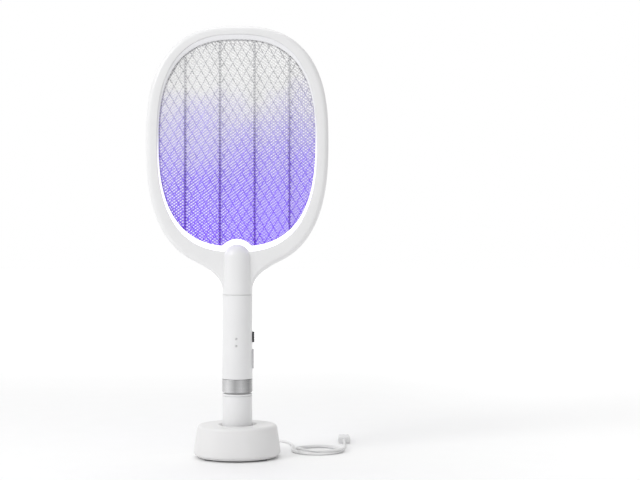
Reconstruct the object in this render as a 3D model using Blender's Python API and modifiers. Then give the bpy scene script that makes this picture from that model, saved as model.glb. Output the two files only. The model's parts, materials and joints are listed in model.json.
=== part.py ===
"""Electric fly swatter standing in its charging dock, with the dock's USB lead plugged in.

Metres, +Z up, the strike face towards -Y. The origin is the point under the dock on the table.
From the bottom up: dock, battery handle, upper handle, racket head.
"""

import math

import bmesh
import bpy

MM = 0.001
GAP = 0.3 * MM  # air kept between two pieces that touch on the real object
WALL = 1.8 * MM
ROUND_STEPS = 28

# Levels on the Z axis.
FOOT_HEIGHT = 1.5 * MM
BASE_PLATE_BOTTOM = FOOT_HEIGHT + GAP
BASE_PLATE_TOP = BASE_PLATE_BOTTOM + 1.5 * MM
DOCK_TOP = 37 * MM
WELL_FLOOR = 12.5 * MM
HANDLE_BOTTOM = WELL_FLOOR + GAP
SHOULDER = HANDLE_BOTTOM + 59 * MM
NECK_TOP = SHOULDER + 9.5 * MM
RING_BOTTOM = SHOULDER + 1.4 * MM
RING_TOP = RING_BOTTOM + 15 * MM
TUBE_BOTTOM = RING_TOP + GAP
JOINT_LINE = TUBE_BOTTOM + 94 * MM
HEAD_CENTRE = JOINT_LINE + GAP + 172.5 * MM

# The racket head, seen from the front: an egg-shaped outline about HEAD_CENTRE.
HEAD_POWER = 2.6
OUTER = (102.5 * MM, 129 * MM, 143 * MM)  # half width, height above the centre, drop below it
FACE_EDGE = (89.5 * MM, 119 * MM, 124.5 * MM)
OPENING = (87.8 * MM, 113.5 * MM, 118.5 * MM)
GRID_EDGE = (92.5 * MM, 121.5 * MM, 127.5 * MM)
CARRIER_EDGE = (93.5 * MM, 122.5 * MM, 128.5 * MM)
HALF_DEPTH = 8.5 * MM
EDGE_ROUND = 6 * MM
CLAMP_DEPTH = 5.5 * MM  # the frame's inner walls reach in to this depth and clamp the grids
HV_HALF_THICKNESS = 0.3 * MM
CARRIER_INNER = 0.6 * MM
CARRIER_OUTER = 4.1 * MM
GRID_INNER = 4.4 * MM
GRID_OUTER = 5.0 * MM
GRID_PITCH = (42 * MM, 31 * MM)  # the diamonds' width and height
LIVE_PITCH = (32 * MM, 52 * MM)
BAR = 1.5 * MM
SMALLEST_HOLE = 40 * MM * MM
RIB_PLACES = (19.5 * MM, 58.7 * MM)  # either side of the middle
RIB_HALF_WIDTH = 0.9 * MM

# The neck, and the dome that ends it at the foot of the opening.
HANDLE_RADIUS = 17 * MM
DOME_DROP = 131.3 * MM  # the dome's centre, below HEAD_CENTRE
FACE_NOTCH = 15.3 * MM
OPENING_NOTCH = 21 * MM
FLARE_START_X = 50 * MM  # the egg's outline leads into the neck from here
FLARE_FIRST = (34.5 * MM, -141.6 * MM)
FLARE_SECOND = (HANDLE_RADIUS, -152 * MM)
FLARE_END = (HANDLE_RADIUS, -167 * MM)

# The upper handle.
TUBE_INNER = HANDLE_RADIUS - WALL
MODE_CENTRE = 135 * MM
MODE_TRAVEL = 2 * MM
ZAP_CENTRE = 110.5 * MM
BOARD_FRONT = 5.0 * MM  # the main board's two faces, across X
BOARD_BACK = 6.6 * MM
LENS_PLACES = (134 * MM, 126 * MM)
KNOB = (2.5 * MM, 6 * MM)  # the knob's and the button's half width and half length
KNOB_RISE = 2.2 * MM
ZAP_BUTTON = (4 * MM, 11 * MM)
ZAP_RISE = 1.5 * MM
FLANGE_START = 12.6 * MM  # across X: the captive flanges under the knob and the button
FLANGE_END = 13.7 * MM
GRIP_RIB_PITCH = 1.8 * MM
LENS_RADIUS = 1.0 * MM
RING_INNER = 14.6 * MM
PLUG_RADIUS = 14.9 * MM
PLUG_LENGTH = 13 * MM
CARRIER_RADIUS = 14.8 * MM

# The frame's screws, from HEAD_CENTRE, on both sides of it.
SCREW_PLACES = ((92.8 * MM, 53 * MM), (90.0 * MM, -71 * MM))
SCREW_HEAD = 2.3 * MM
SCREW_SHANK = 1.1 * MM
SCREW_PILOT = 1.5 * MM
SCREW_SEAT = 2.7 * MM
BOSS_RADIUS = 3.0 * MM

# The twist joint between the two handles: a right-handed bayonet thread.
BAYONET_LEAD = 12.4 * MM
NECK_RADIUS = 10.5 * MM
LUG_LEVEL = SHOULDER + 6 * MM
LUG_COUNT = 2
LUG_HALF_ANGLE = math.radians(7)
LUG_REACH = 12.3 * MM
LUG_HEIGHT = 2.4 * MM
GROOVE_REACH = 12.7 * MM
GROOVE_HEIGHT = 3.6 * MM
GROOVE_SWEEP = math.radians(210)
GROOVE_PLAY = math.radians(5)  # how far a groove goes on past its lug

# The battery handle.
LOWER_RADIUS = 16.75 * MM
CAP_FLOOR = 3.1 * MM
PAD_DEPTH = 1 * MM  # how far the charging contacts are set into the handle's foot
PAD_RADIUS = 3 * MM
CHARGE_RING = (6.5 * MM, 9.5 * MM)  # inner and outer radius
CELL_RADIUS = 9.1 * MM
CELL_LENGTH = 50 * MM
SEAL_OUTER = 14.4 * MM

# The dock: an oval, wider than it is deep.
DOCK_BOTTOM_RADIUS = 49 * MM
DOCK_TOP_RADIUS = 44.6 * MM
DOCK_DEPTH_SHARE = 0.88
DOCK_HOLE_RADIUS = 21.5 * MM
WELL_RADIUS = 17.6 * MM
WELL_MOUTH = 20.6 * MM
WELL_RIM = 21.2 * MM
PIN_PLACES = (0.0, -8 * MM)  # along Y
PIN_RADIUS = 1.0 * MM
PIN_BORE = 1.5 * MM
PORT_LEVEL = 9.75 * MM
PORT = (5.7 * MM, 2.7 * MM)  # half width and half height
SOCKET = (4.95 * MM, 2.05 * MM)
SOCKET_MOUTH = (4.5 * MM, 1.6 * MM)
FOOT_PLACE = (30 * MM, 22 * MM)
FOOT_RADIUS = 5 * MM

# The USB lead, which lies on the table.
CORD_RADIUS = 1.5 * MM
CORD_LEVEL = 1.6 * MM
COIL_CENTRE = (90.7 * MM, 40 * MM)
COIL_INSIDE = 21.9 * MM
COIL_OUTSIDE = 32 * MM
LEAD_IN_X = COIL_CENTRE[0] - 29.7 * MM
LEAD_OUT_X = COIL_CENTRE[0] + 30.5 * MM
A_PLUG_X = LEAD_OUT_X + 0.8 * MM
C_GRIP = (5.1 * MM, 3.1 * MM)  # half width and half height, like the next four
C_SHELL = (4.15 * MM, 1.25 * MM)
C_MOUTH = (3.3 * MM, 0.6 * MM)
A_GRIP = (7.15 * MM, 3.8 * MM)
A_SHELL = (6.1 * MM, 2.25 * MM)
A_MOUTH = (5.7 * MM, 1.85 * MM)
C_GRIP_FRONT = 43.5 * MM
GRIP_LENGTH = 18.2 * MM
RELIEF_LENGTH = 10.6 * MM
RELIEF_RADIUS = 2 * MM
A_GRIP_LEVEL = A_GRIP[1]
A_RELIEF_START = 85 * MM
A_SHELL_LENGTH = 11.8 * MM

COLOURS = {  # colour, roughness, metallic
    "white_plastic": ((0.87, 0.87, 0.87), 0.35, 0.0),
    "dock_plastic": ((0.80, 0.79, 0.80), 0.45, 0.0),
    "lit_plastic": ((0.95, 0.94, 0.97), 0.25, 0.0),
    "carrier_plastic": ((0.30, 0.25, 0.42), 0.4, 0.0),
    "grid_metal": ((0.70, 0.70, 0.72), 0.35, 0.9),
    "satin_metal": ((0.66, 0.66, 0.67), 0.3, 1.0),
    "steel": ((0.60, 0.61, 0.62), 0.35, 1.0),
    "brass": ((0.80, 0.63, 0.32), 0.3, 1.0),
    "dark_plastic": ((0.10, 0.10, 0.11), 0.5, 0.0),
    "grey_plastic": ((0.72, 0.72, 0.73), 0.5, 0.0),
    "circuit_board": ((0.05, 0.28, 0.14), 0.5, 0.0),
    "component_black": ((0.04, 0.04, 0.045), 0.5, 0.0),
    "film_yellow": ((0.75, 0.55, 0.12), 0.5, 0.0),
    "cell_wrap": ((0.12, 0.36, 0.55), 0.35, 0.0),
    "white_rubber": ((0.86, 0.86, 0.86), 0.7, 0.0),
    "grey_rubber": ((0.45, 0.45, 0.46), 0.85, 0.0),
    "cable_jacket": ((0.88, 0.88, 0.88), 0.5, 0.0),
}


# ---------------------------------------------------------------- scene, materials, placing


def clear_scene():
    for obj in list(bpy.data.objects):
        bpy.data.objects.remove(obj, do_unlink=True)


def new_collection(name, hidden=False):
    made = bpy.data.collections.new(name)
    bpy.context.scene.collection.children.link(made)
    made.hide_render = hidden
    return made


clear_scene()
PARTS = new_collection("electric_fly_swatter")
CUTTERS = new_collection("cutters", hidden=True)


def material(name):
    found = bpy.data.materials.get(name)
    if found:
        return found
    made = bpy.data.materials.new(name)
    made.use_nodes = True
    colour, roughness, metallic = COLOURS[name]
    shader = made.node_tree.nodes["Principled BSDF"]
    shader.inputs["Base Color"].default_value = (*colour, 1.0)
    shader.inputs["Roughness"].default_value = roughness
    shader.inputs["Metallic"].default_value = metallic
    return made


def add(name, data, finish):
    """A new object for one piece; finish None makes it a cutter."""
    obj = bpy.data.objects.new(name, data)
    if finish is None:
        CUTTERS.objects.link(obj)
        obj.hide_render = True
        obj.display_type = "WIRE"
    else:
        PARTS.objects.link(obj)
        data.materials.append(material(finish))
    return obj


def add_mesh(name, bm, finish, smooth=True):
    if bm.faces and bm.calc_volume(signed=True) < 0:
        bmesh.ops.reverse_faces(bm, faces=bm.faces)
    mesh = bpy.data.meshes.new(name)
    bm.to_mesh(mesh)
    bm.free()
    if smooth:
        mesh.shade_smooth()
    return add(name, mesh, finish)


def boolean(obj, other, operation="DIFFERENCE"):
    modifier = obj.modifiers.new(operation.lower(), "BOOLEAN")
    modifier.operation = operation
    modifier.object = other
    modifier.solver = "EXACT"
    return obj


# ---------------------------------------------------------------- basic shapes


def box(name, low, high, finish, bevel=0.0):
    """A box between two corners, its edges rounded if bevel is given."""
    bm = bmesh.new()
    bmesh.ops.create_cube(bm, size=1.0)
    size = [b - a for a, b in zip(low, high, strict=True)]
    bmesh.ops.scale(bm, vec=size, verts=bm.verts)
    obj = add_mesh(name, bm, finish, smooth=False)
    obj.location = [(a + b) / 2 for a, b in zip(low, high, strict=True)]
    if bevel:
        modifier = obj.modifiers.new("edges", "BEVEL")
        modifier.width = bevel
        modifier.segments = 3
    return obj


TURN_TO = {"X": (0, math.pi / 2, 0), "Y": (math.pi / 2, 0, 0), "Z": (0, 0, 0)}


def rod(name, radius, start, end, axis, across, finish, sides=16):
    """A cylinder from start to end along an axis; across is its place on the other two axes."""
    bm = bmesh.new()
    bmesh.ops.create_cone(
        bm, cap_ends=True, segments=sides, radius1=radius, radius2=radius, depth=end - start
    )
    obj = add_mesh(name, bm, finish)
    obj.rotation_euler = TURN_TO[axis]
    place = list(across)
    place.insert("XYZ".index(axis), (start + end) / 2)
    obj.location = place
    return obj


def turned(name, profile, finish, closed=True, steps=ROUND_STEPS, depth_share=1.0):
    """A shape turned about Z from (radius, height) points, which run down its outer side."""
    bm = bmesh.new()
    verts = [bm.verts.new((radius, 0, height)) for radius, height in profile]
    for first, second in zip(verts, verts[1:], strict=False):
        bm.edges.new((first, second))
    if closed:
        bm.edges.new((verts[-1], verts[0]))
    obj = add_mesh(name, bm, finish)
    obj.scale.y = depth_share
    screw = obj.modifiers.new("turn", "SCREW")
    screw.steps = steps
    screw.render_steps = steps
    screw.use_merge_vertices = True
    screw.merge_threshold = 0.00001
    return obj


def plate(name, splines, half_thickness, middle, finish):
    """A flat piece facing the front: the first spline is its outline, the others are holes."""
    curve = bpy.data.curves.new(name, "CURVE")
    curve.dimensions = "2D"
    curve.fill_mode = "BOTH"
    curve.extrude = half_thickness
    for points in splines:
        spline = curve.splines.new("POLY")
        spline.points.add(len(points) - 1)
        for point, (x, z) in zip(spline.points, points, strict=True):
            point.co = (x, z, 0, 1)
        spline.use_cyclic_u = True
    obj = add(name, curve, finish)
    obj.rotation_euler = (math.pi / 2, 0, 0)
    obj.location = (0, middle, HEAD_CENTRE)
    return obj


def stadium(half_width, half_length, corner_steps=6):
    """Points round a pill shape, longer along its second axis."""
    points = []
    straight = half_length - half_width
    for middle, start in ((straight, 0.0), (-straight, math.pi)):
        for step in range(corner_steps + 1):
            angle = start + math.pi * step / corner_steps
            points.append((half_width * math.cos(angle), middle + half_width * math.sin(angle)))
    return points


def pill(name, sections, height, finish):
    """A stepped pill-shaped block along X, from (x, half width, half length) sections."""
    bm = bmesh.new()
    rings = []
    for x, half_width, half_length in sections:
        points = stadium(half_width, half_length)
        rings.append([bm.verts.new((x, y, z + height)) for y, z in points])
    count = len(rings[0])
    for first, second in zip(rings, rings[1:], strict=False):
        for i in range(count):
            j = (i + 1) % count
            bm.faces.new((first[i], first[j], second[j], second[i]))
    bm.faces.new(rings[0][::-1])
    bm.faces.new(rings[-1])
    return add_mesh(name, bm, finish, smooth=False)


def stepped(levels):
    """Sections for a pill from (start, end, half width, half length) steps."""
    return [(x, width, length) for start, end, width, length in levels for x in (start, end)]


def loft_ring(name, stations, finish):
    """Joins closed outlines of equal point counts, each to the next and the last to the first."""
    bm = bmesh.new()
    rings = [[bm.verts.new(point) for point in station] for station in stations]
    count = len(rings[0])
    for first, second in zip(rings, rings[1:] + rings[:1], strict=True):
        for i in range(count):
            j = (i + 1) % count
            bm.faces.new((first[i], first[j], second[j], second[i]))
    return add_mesh(name, bm, finish)


# ---------------------------------------------------------------- the head's outlines


def egg_point(angle, size):
    """A point of the head's outline, from its centre. size is half width, top and drop."""
    half_width, top, drop = size
    across, up = math.cos(angle), math.sin(angle)
    power = 2 / HEAD_POWER
    x = half_width * math.copysign(abs(across) ** power, across)
    z = (top if up > 0 else drop) * math.copysign(abs(up) ** power, up)
    return x, z


def past_the_dome(x, z, notch):
    """Moves a point that lies within the dome's notch out to the notch's edge."""
    reach = math.hypot(x, z + DOME_DROP)
    if reach >= notch:
        return x, z
    share = notch / reach
    return x * share, (z + DOME_DROP) * share - DOME_DROP


def spread_along(path, count, crowding=1.0):
    """count + 1 points along a path; a crowding over 1 puts them closer at its start."""
    lengths = [0.0]
    for (x0, z0), (x1, z1) in zip(path, path[1:], strict=False):
        lengths.append(lengths[-1] + math.hypot(x1 - x0, z1 - z0))
    points = []
    segment = 0
    for i in range(count + 1):
        target = lengths[-1] * (i / count) ** crowding
        while segment < len(path) - 2 and lengths[segment + 1] < target:
            segment += 1
        share = (target - lengths[segment]) / (lengths[segment + 1] - lengths[segment])
        (x0, z0), (x1, z1) = path[segment], path[segment + 1]
        points.append((x0 + (x1 - x0) * share, z0 + (z1 - z0) * share))
    return points


def mirrored(half):
    """The whole outline from its right half, which runs from the bottom to the top."""
    return half + [(-x, z) for x, z in half[-2:0:-1]]


BOTTOM_POINTS = 2
FLARE_POINTS = 7
SIDE_POINTS = 20
HALF_POINTS = BOTTOM_POINTS + 1 + FLARE_POINTS + SIDE_POINTS
FINE = 400


def fine_half_egg(size, notch=0.0, start=-math.pi / 2):
    path = []
    for i in range(FINE + 1):
        angle = start + (math.pi / 2 - start) * i / FINE
        path.append(past_the_dome(*egg_point(angle, size), notch))
    return path


def opening_outline(size, notch):
    """An outline inside the ring, notched round the dome, that matches outer_outline's points."""
    return mirrored(spread_along(fine_half_egg(size, notch), HALF_POINTS, crowding=1.3))


def flare_start():
    return FLARE_START_X, egg_height(FLARE_START_X, OUTER, below=True)


def flare_point(share):
    """The concave curve that leads the head's outline into the neck, from the neck up."""
    rest = 1 - share
    weights = (rest**3, 3 * rest**2 * share, 3 * rest * share**2, share**3)
    corners = (FLARE_END, FLARE_SECOND, FLARE_FIRST, flare_start())
    return tuple(sum(w * c[k] for w, c in zip(weights, corners, strict=True)) for k in (0, 1))


def half_outer():
    """The right half of the head and neck together, from the joint line to the top."""
    neck_end = JOINT_LINE + GAP - HEAD_CENTRE
    bottom = [(HANDLE_RADIUS * i / (BOTTOM_POINTS + 1), neck_end) for i in range(BOTTOM_POINTS + 1)]
    corner = [(HANDLE_RADIUS, neck_end)]
    flare = [flare_point(i / FLARE_POINTS) for i in range(FLARE_POINTS)]
    egg = fine_half_egg(OUTER)
    above = [point for point in egg if point[0] < FLARE_START_X and point[1] > 0]
    side = [point for point in egg if point[0] >= FLARE_START_X]
    arc = spread_along([flare_start(), *side, *above], SIDE_POINTS - 1)
    return bottom + corner + flare + arc


def outer_outline(ring_inset, neck_inset, lift=0.0):
    """The head's and neck's outer outline, moved in, and up by lift at the joint line."""
    half = half_outer()
    moved = []
    for i, (x, z) in enumerate(half):
        if i <= BOTTOM_POINTS + 1:
            moved.append((x * (1 - neck_inset / HANDLE_RADIUS), z + lift))
            continue
        share = min(1.0, (i - BOTTOM_POINTS - 1) / FLARE_POINTS)
        inset = neck_inset + (ring_inset - neck_inset) * share * share * (3 - 2 * share)
        x0, z0 = half[i - 1]
        x1, z1 = half[i + 1] if i + 1 < len(half) else (-x0, z0)
        run = math.hypot(x1 - x0, z1 - z0)
        moved.append((x - (z1 - z0) / run * inset, z + (x1 - x0) / run * inset))
    return mirrored(moved)


def station(outline, depth):
    return [(x, depth, z + HEAD_CENTRE) for x, z in outline]


def egg_height(x, size, below, notch=0.0):
    """How high or low an egg outline is at x, with the notch taken out of its bottom."""
    half_width, top, drop = size
    rest = max(0.0, 1 - abs(x / half_width) ** HEAD_POWER) ** (1 / HEAD_POWER)
    if not below:
        return top * rest
    floor = -drop * rest
    if abs(x) < notch:
        floor = max(floor, math.sqrt(notch**2 - x**2) - DOME_DROP)
    return floor


# ---------------------------------------------------------------- the racket's head

ROUND_ANGLES = [math.radians(a) for a in (0, 30, 60, 90)]


def grown(size, extra):
    return tuple(value + extra for value in size)


def head_frame(name, side):
    """One half of the frame: a channel round the opening, with the yoke and the neck below it."""
    core = HALF_DEPTH - EDGE_ROUND
    stations = [station(outer_outline(0, 0), side * GAP / 2)]
    for angle in ROUND_ANGLES:
        ring_inset = EDGE_ROUND * (1 - math.cos(angle))
        depth = core + EDGE_ROUND * math.sin(angle)
        neck_inset = HANDLE_RADIUS - math.sqrt(HANDLE_RADIUS**2 - depth**2)
        stations.append(station(outer_outline(ring_inset, neck_inset), side * depth))
    softening = 0.8 * MM
    edge = opening_outline(grown(FACE_EDGE, softening), FACE_NOTCH - softening)
    inner = opening_outline(FACE_EDGE, FACE_NOTCH)
    hidden = opening_outline(grown(FACE_EDGE, WALL), FACE_NOTCH - WALL)
    stations.append(station(edge, side * HALF_DEPTH))
    stations.append(station(inner, side * (HALF_DEPTH - softening)))
    stations.append(station(inner, side * CLAMP_DEPTH))
    stations.append(station(hidden, side * CLAMP_DEPTH))
    stations.append(station(hidden, side * (HALF_DEPTH - WALL)))
    stations.append(station(outer_outline(EDGE_ROUND, 2 * WALL, WALL), side * (HALF_DEPTH - WALL)))
    stations.append(station(outer_outline(WALL, WALL, WALL), side * core))
    stations.append(station(outer_outline(WALL, WALL, WALL), side * GAP / 2))
    return loft_ring(name, stations, "white_plastic")


TONGUE = (11 * MM, 5.5 * MM)
TONGUE_TOP = JOINT_LINE + 24 * MM


def tongue_cutter():
    x, y = (value + 0.4 * MM for value in TONGUE)
    low, high = JOINT_LINE - 2 * MM, JOINT_LINE + 3.5 * MM
    return box("cut_tongue", (-x, -y, low), (x, y, high), None)


def frame_screws(front, rear):
    """Four screws from the rear half into bosses of the front half."""
    places = [(side * x, z + HEAD_CENTRE) for x, z in SCREW_PLACES for side in (-1, 1)]
    for number, across in enumerate(places, 1):
        inside = HALF_DEPTH - 1.2 * MM
        front_boss = rod(f"boss_front_{number}", SCREW_SEAT, -inside, -GAP, "Y", across, None, 12)
        rear_boss = rod(f"boss_rear_{number}", BOSS_RADIUS, GAP, inside, "Y", across, None, 12)
        boolean(front, front_boss, "UNION")
        boolean(rear, rear_boss, "UNION")
        pilot = rod(f"cut_pilot_{number}", SCREW_PILOT, -6 * MM, 12 * MM, "Y", across, None, 10)
        seat = rod(f"cut_seat_{number}", SCREW_SEAT, 6.5 * MM, 12 * MM, "Y", across, None, 12)
        boolean(front, pilot)
        boolean(rear, pilot)
        boolean(rear, seat)
        name = f"frame_screw_{number}"
        screw = rod(name, SCREW_HEAD, 6.9 * MM, 8.3 * MM, "Y", across, "steel", 12)
        shank = rod(f"shank_{number}", SCREW_SHANK, -5.6 * MM, 7.5 * MM, "Y", across, None, 8)
        slot = (1.6 * MM, 0.6 * MM)
        low = (across[0] - slot[0], 7.7 * MM, across[1] - slot[1] / 2)
        high = (across[0] + slot[0], 9 * MM, across[1] + slot[1] / 2)
        boolean(screw, shank, "UNION")
        boolean(screw, box(f"cut_slot_{number}", low, high, None))


def grid_bezel(name, side):
    """The translucent lip between the frame's face and the grid, lit from the foot."""
    outer = opening_outline(grown(FACE_EDGE, -GAP), FACE_NOTCH + GAP)
    crest = 1.2 * MM
    middle = opening_outline(grown(FACE_EDGE, -crest), FACE_NOTCH + crest)
    inner = opening_outline(OPENING, OPENING_NOTCH)
    stations = [
        station(outer, side * (CLAMP_DEPTH - 0.2 * MM)),
        station(outer, side * 7.6 * MM),
        station(middle, side * 7.6 * MM),
        station(inner, side * 6.2 * MM),
        station(inner, side * (CLAMP_DEPTH - 0.2 * MM)),
    ]
    return loft_ring(name, stations, "lit_plastic")


def clipped(corners, outline):
    """The part of a small polygon that lies inside a rounded outline, which runs anticlockwise."""
    kept = corners
    for (x0, z0), (x1, z1) in zip(outline, outline[1:] + outline[:1], strict=True):
        result = []
        for i, (x, z) in enumerate(kept):
            before_x, before_z = kept[i - 1]
            now = (x1 - x0) * (z - z0) - (z1 - z0) * (x - x0)
            before = (x1 - x0) * (before_z - z0) - (z1 - z0) * (before_x - x0)
            if (now < 0) != (before < 0):
                share = before / (before - now)
                result.append((before_x + (x - before_x) * share, before_z + (z - before_z) * share))
            if now >= 0:
                result.append((x, z))
        kept = result
    return kept


def area(points):
    """The area inside a polygon."""
    total = 0.0
    for i, (x, z) in enumerate(points):
        before_x, before_z = points[i - 1]
        total += before_x * z - x * before_z
    return abs(total) / 2


def lattice(name, pitch, depth, side):
    """A grid: a rim with diamond holes, the outermost of them cut off where the opening ends."""
    wide, tall = pitch
    half_wide, half_tall = wide / 2 - BAR, tall / 2 - BAR
    room = grown(OPENING, -0.5 * MM)
    inside = [egg_point(2 * math.pi * i / 48, room) for i in range(48)]
    holes = []
    rows = int(2 * room[2] / tall) + 2
    columns = int(room[0] / wide) + 1
    for row in range(-rows, rows + 1):
        shift = wide / 2 if row % 2 else 0.0
        for column in range(-columns, columns + 1):
            x, z = column * wide + shift, row * tall / 2
            corners = [(x, z + half_tall), (x - half_wide, z), (x, z - half_tall), (x + half_wide, z)]
            hole = clipped(corners, inside)
            hole = [past_the_dome(*point, OPENING_NOTCH) for point in hole]
            hole = [p for i, p in enumerate(hole) if math.dist(p, hole[i - 1]) > 0.3 * MM]
            if area(hole) > SMALLEST_HOLE:
                holes.append(hole)
    rim = [egg_point(2 * math.pi * i / 48, GRID_EDGE) for i in range(48)]
    low, high = depth
    return plate(name, [rim, *holes], (high - low) / 2, side * (low + high) / 2, "grid_metal")


def grid_carrier(name, side):
    """An insulating plate with five windows, whose ribs keep a grid off the high-voltage one."""
    rim = [egg_point(2 * math.pi * i / 64, CARRIER_EDGE) for i in range(64)]
    walls = sorted([-x for x in RIB_PLACES] + list(RIB_PLACES))
    edges = [-OPENING[0], *walls, OPENING[0]]
    windows = []
    for left, right in zip(edges, edges[1:], strict=False):
        low = left + (RIB_HALF_WIDTH if left > -OPENING[0] else 0.0)
        high = right - (RIB_HALF_WIDTH if right < OPENING[0] else 0.0)
        steps = [(1 - math.cos(math.pi * i / 10)) / 2 for i in range(11)]
        xs = [low + (high - low) * step for step in steps]
        upper = [(x, egg_height(x, OPENING, below=False)) for x in xs]
        lower = [(x, egg_height(x, OPENING, below=True, notch=OPENING_NOTCH)) for x in xs]
        loop = upper + lower[::-1]
        windows.append([p for i, p in enumerate(loop) if math.dist(p, loop[i - 1]) > 0.01 * MM])
    middle = side * (CARRIER_INNER + CARRIER_OUTER) / 2
    return plate(name, [rim, *windows], (CARRIER_OUTER - CARRIER_INNER) / 2, middle, "carrier_plastic")


def capsule(name, radius, bottom, top_centre, finish):
    """A cylinder with a round top."""
    profile = [(0, top_centre + radius)]
    for i in range(1, 9):
        angle = math.pi / 2 * (1 - i / 8)
        profile.append((radius * math.cos(angle), top_centre + radius * math.sin(angle)))
    profile += [(radius, bottom), (0, bottom)]
    return turned(name, profile, finish, closed=False, steps=36)


def neck_cover(name, side):
    """The half-round cover on the yoke that carries the handle's line up to a dome."""
    centre = HEAD_CENTRE - DOME_DROP
    bottom = JOINT_LINE + GAP
    cover = capsule(name, HANDLE_RADIUS, bottom, centre, "white_plastic")
    hollow = capsule(f"hollow_{name}", HANDLE_RADIUS - WALL, bottom + WALL, centre, None)
    face = side * (HALF_DEPTH + GAP)
    far = side * -40 * MM
    low, high = min(face, far), max(face, far)
    behind = box(f"cut_{name}", (-30 * MM, low, 0.1), (30 * MM, high, 0.3), None)
    boolean(cover, hollow)
    return boolean(cover, behind)


def lamp_board():
    """The strip that carries the lamp's diodes, below the grids' edge."""
    level = HEAD_CENTRE - 135.5 * MM
    low, high = (-26 * MM, -4 * MM, level), (26 * MM, 4 * MM, level + 1.6 * MM)
    return box("lamp_board", low, high, "circuit_board")


def racket_head():
    front = head_frame("head_frame_front", -1)
    rear = head_frame("head_frame_rear", 1)
    frame_screws(front, rear)
    tongue = tongue_cutter()
    boolean(front, tongue)
    boolean(rear, tongue)
    grid_bezel("grid_bezel_front", -1)
    grid_bezel("grid_bezel_rear", 1)
    lattice("front_grid", GRID_PITCH, (GRID_INNER, GRID_OUTER), -1)
    lattice("rear_grid", GRID_PITCH, (GRID_INNER, GRID_OUTER), 1)
    lattice("hv_grid", LIVE_PITCH, (-HV_HALF_THICKNESS, HV_HALF_THICKNESS), 1)
    grid_carrier("grid_carrier_front", -1)
    grid_carrier("grid_carrier_rear", 1)
    neck_cover("neck_cover_front", -1)
    neck_cover("neck_cover_rear", 1)
    lamp_board()


# ---------------------------------------------------------------- the upper handle


def handle_tube():
    top, bottom = JOINT_LINE, TUBE_BOTTOM
    profile = [(TUBE_INNER, top), (HANDLE_RADIUS, top), (HANDLE_RADIUS, bottom), (TUBE_INNER, bottom)]
    tube = turned("handle_tube", profile, "white_plastic", steps=36)
    slot = stepped([(12 * MM, 22 * MM, KNOB[0] + GAP, KNOB[1] + MODE_TRAVEL + GAP)])
    window = stepped([(12 * MM, 22 * MM, ZAP_BUTTON[0] + GAP, ZAP_BUTTON[1] + GAP)])
    boolean(tube, pill("cut_mode", slot, MODE_CENTRE, None))
    boolean(tube, pill("cut_zap", window, ZAP_CENTRE, None))
    for number, height in enumerate(LENS_PLACES, 1):
        hole = rod(f"cut_lens_{number}", LENS_RADIUS + GAP, -20 * MM, -12 * MM, "Y", (0, height), None)
        boolean(tube, hole)


def neck_plug():
    """Joins the head to the handle: a round plug in the tube with a flat tongue in the yoke."""
    top = JOINT_LINE - 1 * MM
    bottom = top - PLUG_LENGTH
    plug = rod("neck_plug", PLUG_RADIUS, bottom, top, "Z", (0, 0), "white_plastic", sides=40)
    x, y = TONGUE
    tongue = box("plug_tongue", (-x, -y, top - 2 * MM), (x, y, TONGUE_TOP), None)
    boolean(plug, tongue, "UNION")
    wires = rod("cut_wires", 3 * MM, bottom - 2 * MM, TONGUE_TOP + 2 * MM, "Z", (0, 0), None)
    boolean(plug, wires)


def trim_ring():
    outer, inner = HANDLE_RADIUS, RING_INNER
    top, bottom = RING_TOP, RING_BOTTOM
    profile = [(inner, top), (outer, top)]
    corner = 1.5 * MM
    for i in range(3):
        angle = math.pi / 2 * i / 2
        inset, rise = corner * (1 - math.cos(angle)), corner * (1 - math.sin(angle))
        profile.append((outer - inset, bottom + rise))
    profile.append((inner, bottom))
    turned("trim_ring", profile, "satin_metal", steps=36)


def helical_bar(name, inner, outer, height, last_angle, sweep, level):
    """A bar along the bayonet's helix: it ends at last_angle with its middle at level."""
    bm = bmesh.new()
    steps = 12
    rings = []
    for i in range(steps + 1):
        angle = last_angle - sweep * (1 - i / steps)
        z = level - sweep * (1 - i / steps) / (2 * math.pi) * BAYONET_LEAD
        corners = [(inner, -1), (outer, -1), (outer, 1), (inner, 1)]
        ring = []
        for radius, up in corners:
            x, y = radius * math.cos(angle), radius * math.sin(angle)
            ring.append(bm.verts.new((x, y, z + up * height / 2)))
        rings.append(ring)
    for first, second in zip(rings, rings[1:], strict=False):
        for i in range(4):
            j = (i + 1) % 4
            bm.faces.new((first[i], first[j], second[j], second[i]))
    bm.faces.new(rings[0][::-1])
    bm.faces.new(rings[-1])
    return add_mesh(name, bm, None, smooth=False)


def lug_angle(number):
    """The lugs face the front and the rear."""
    return math.pi / 2 + 2 * math.pi * number / LUG_COUNT


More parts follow.
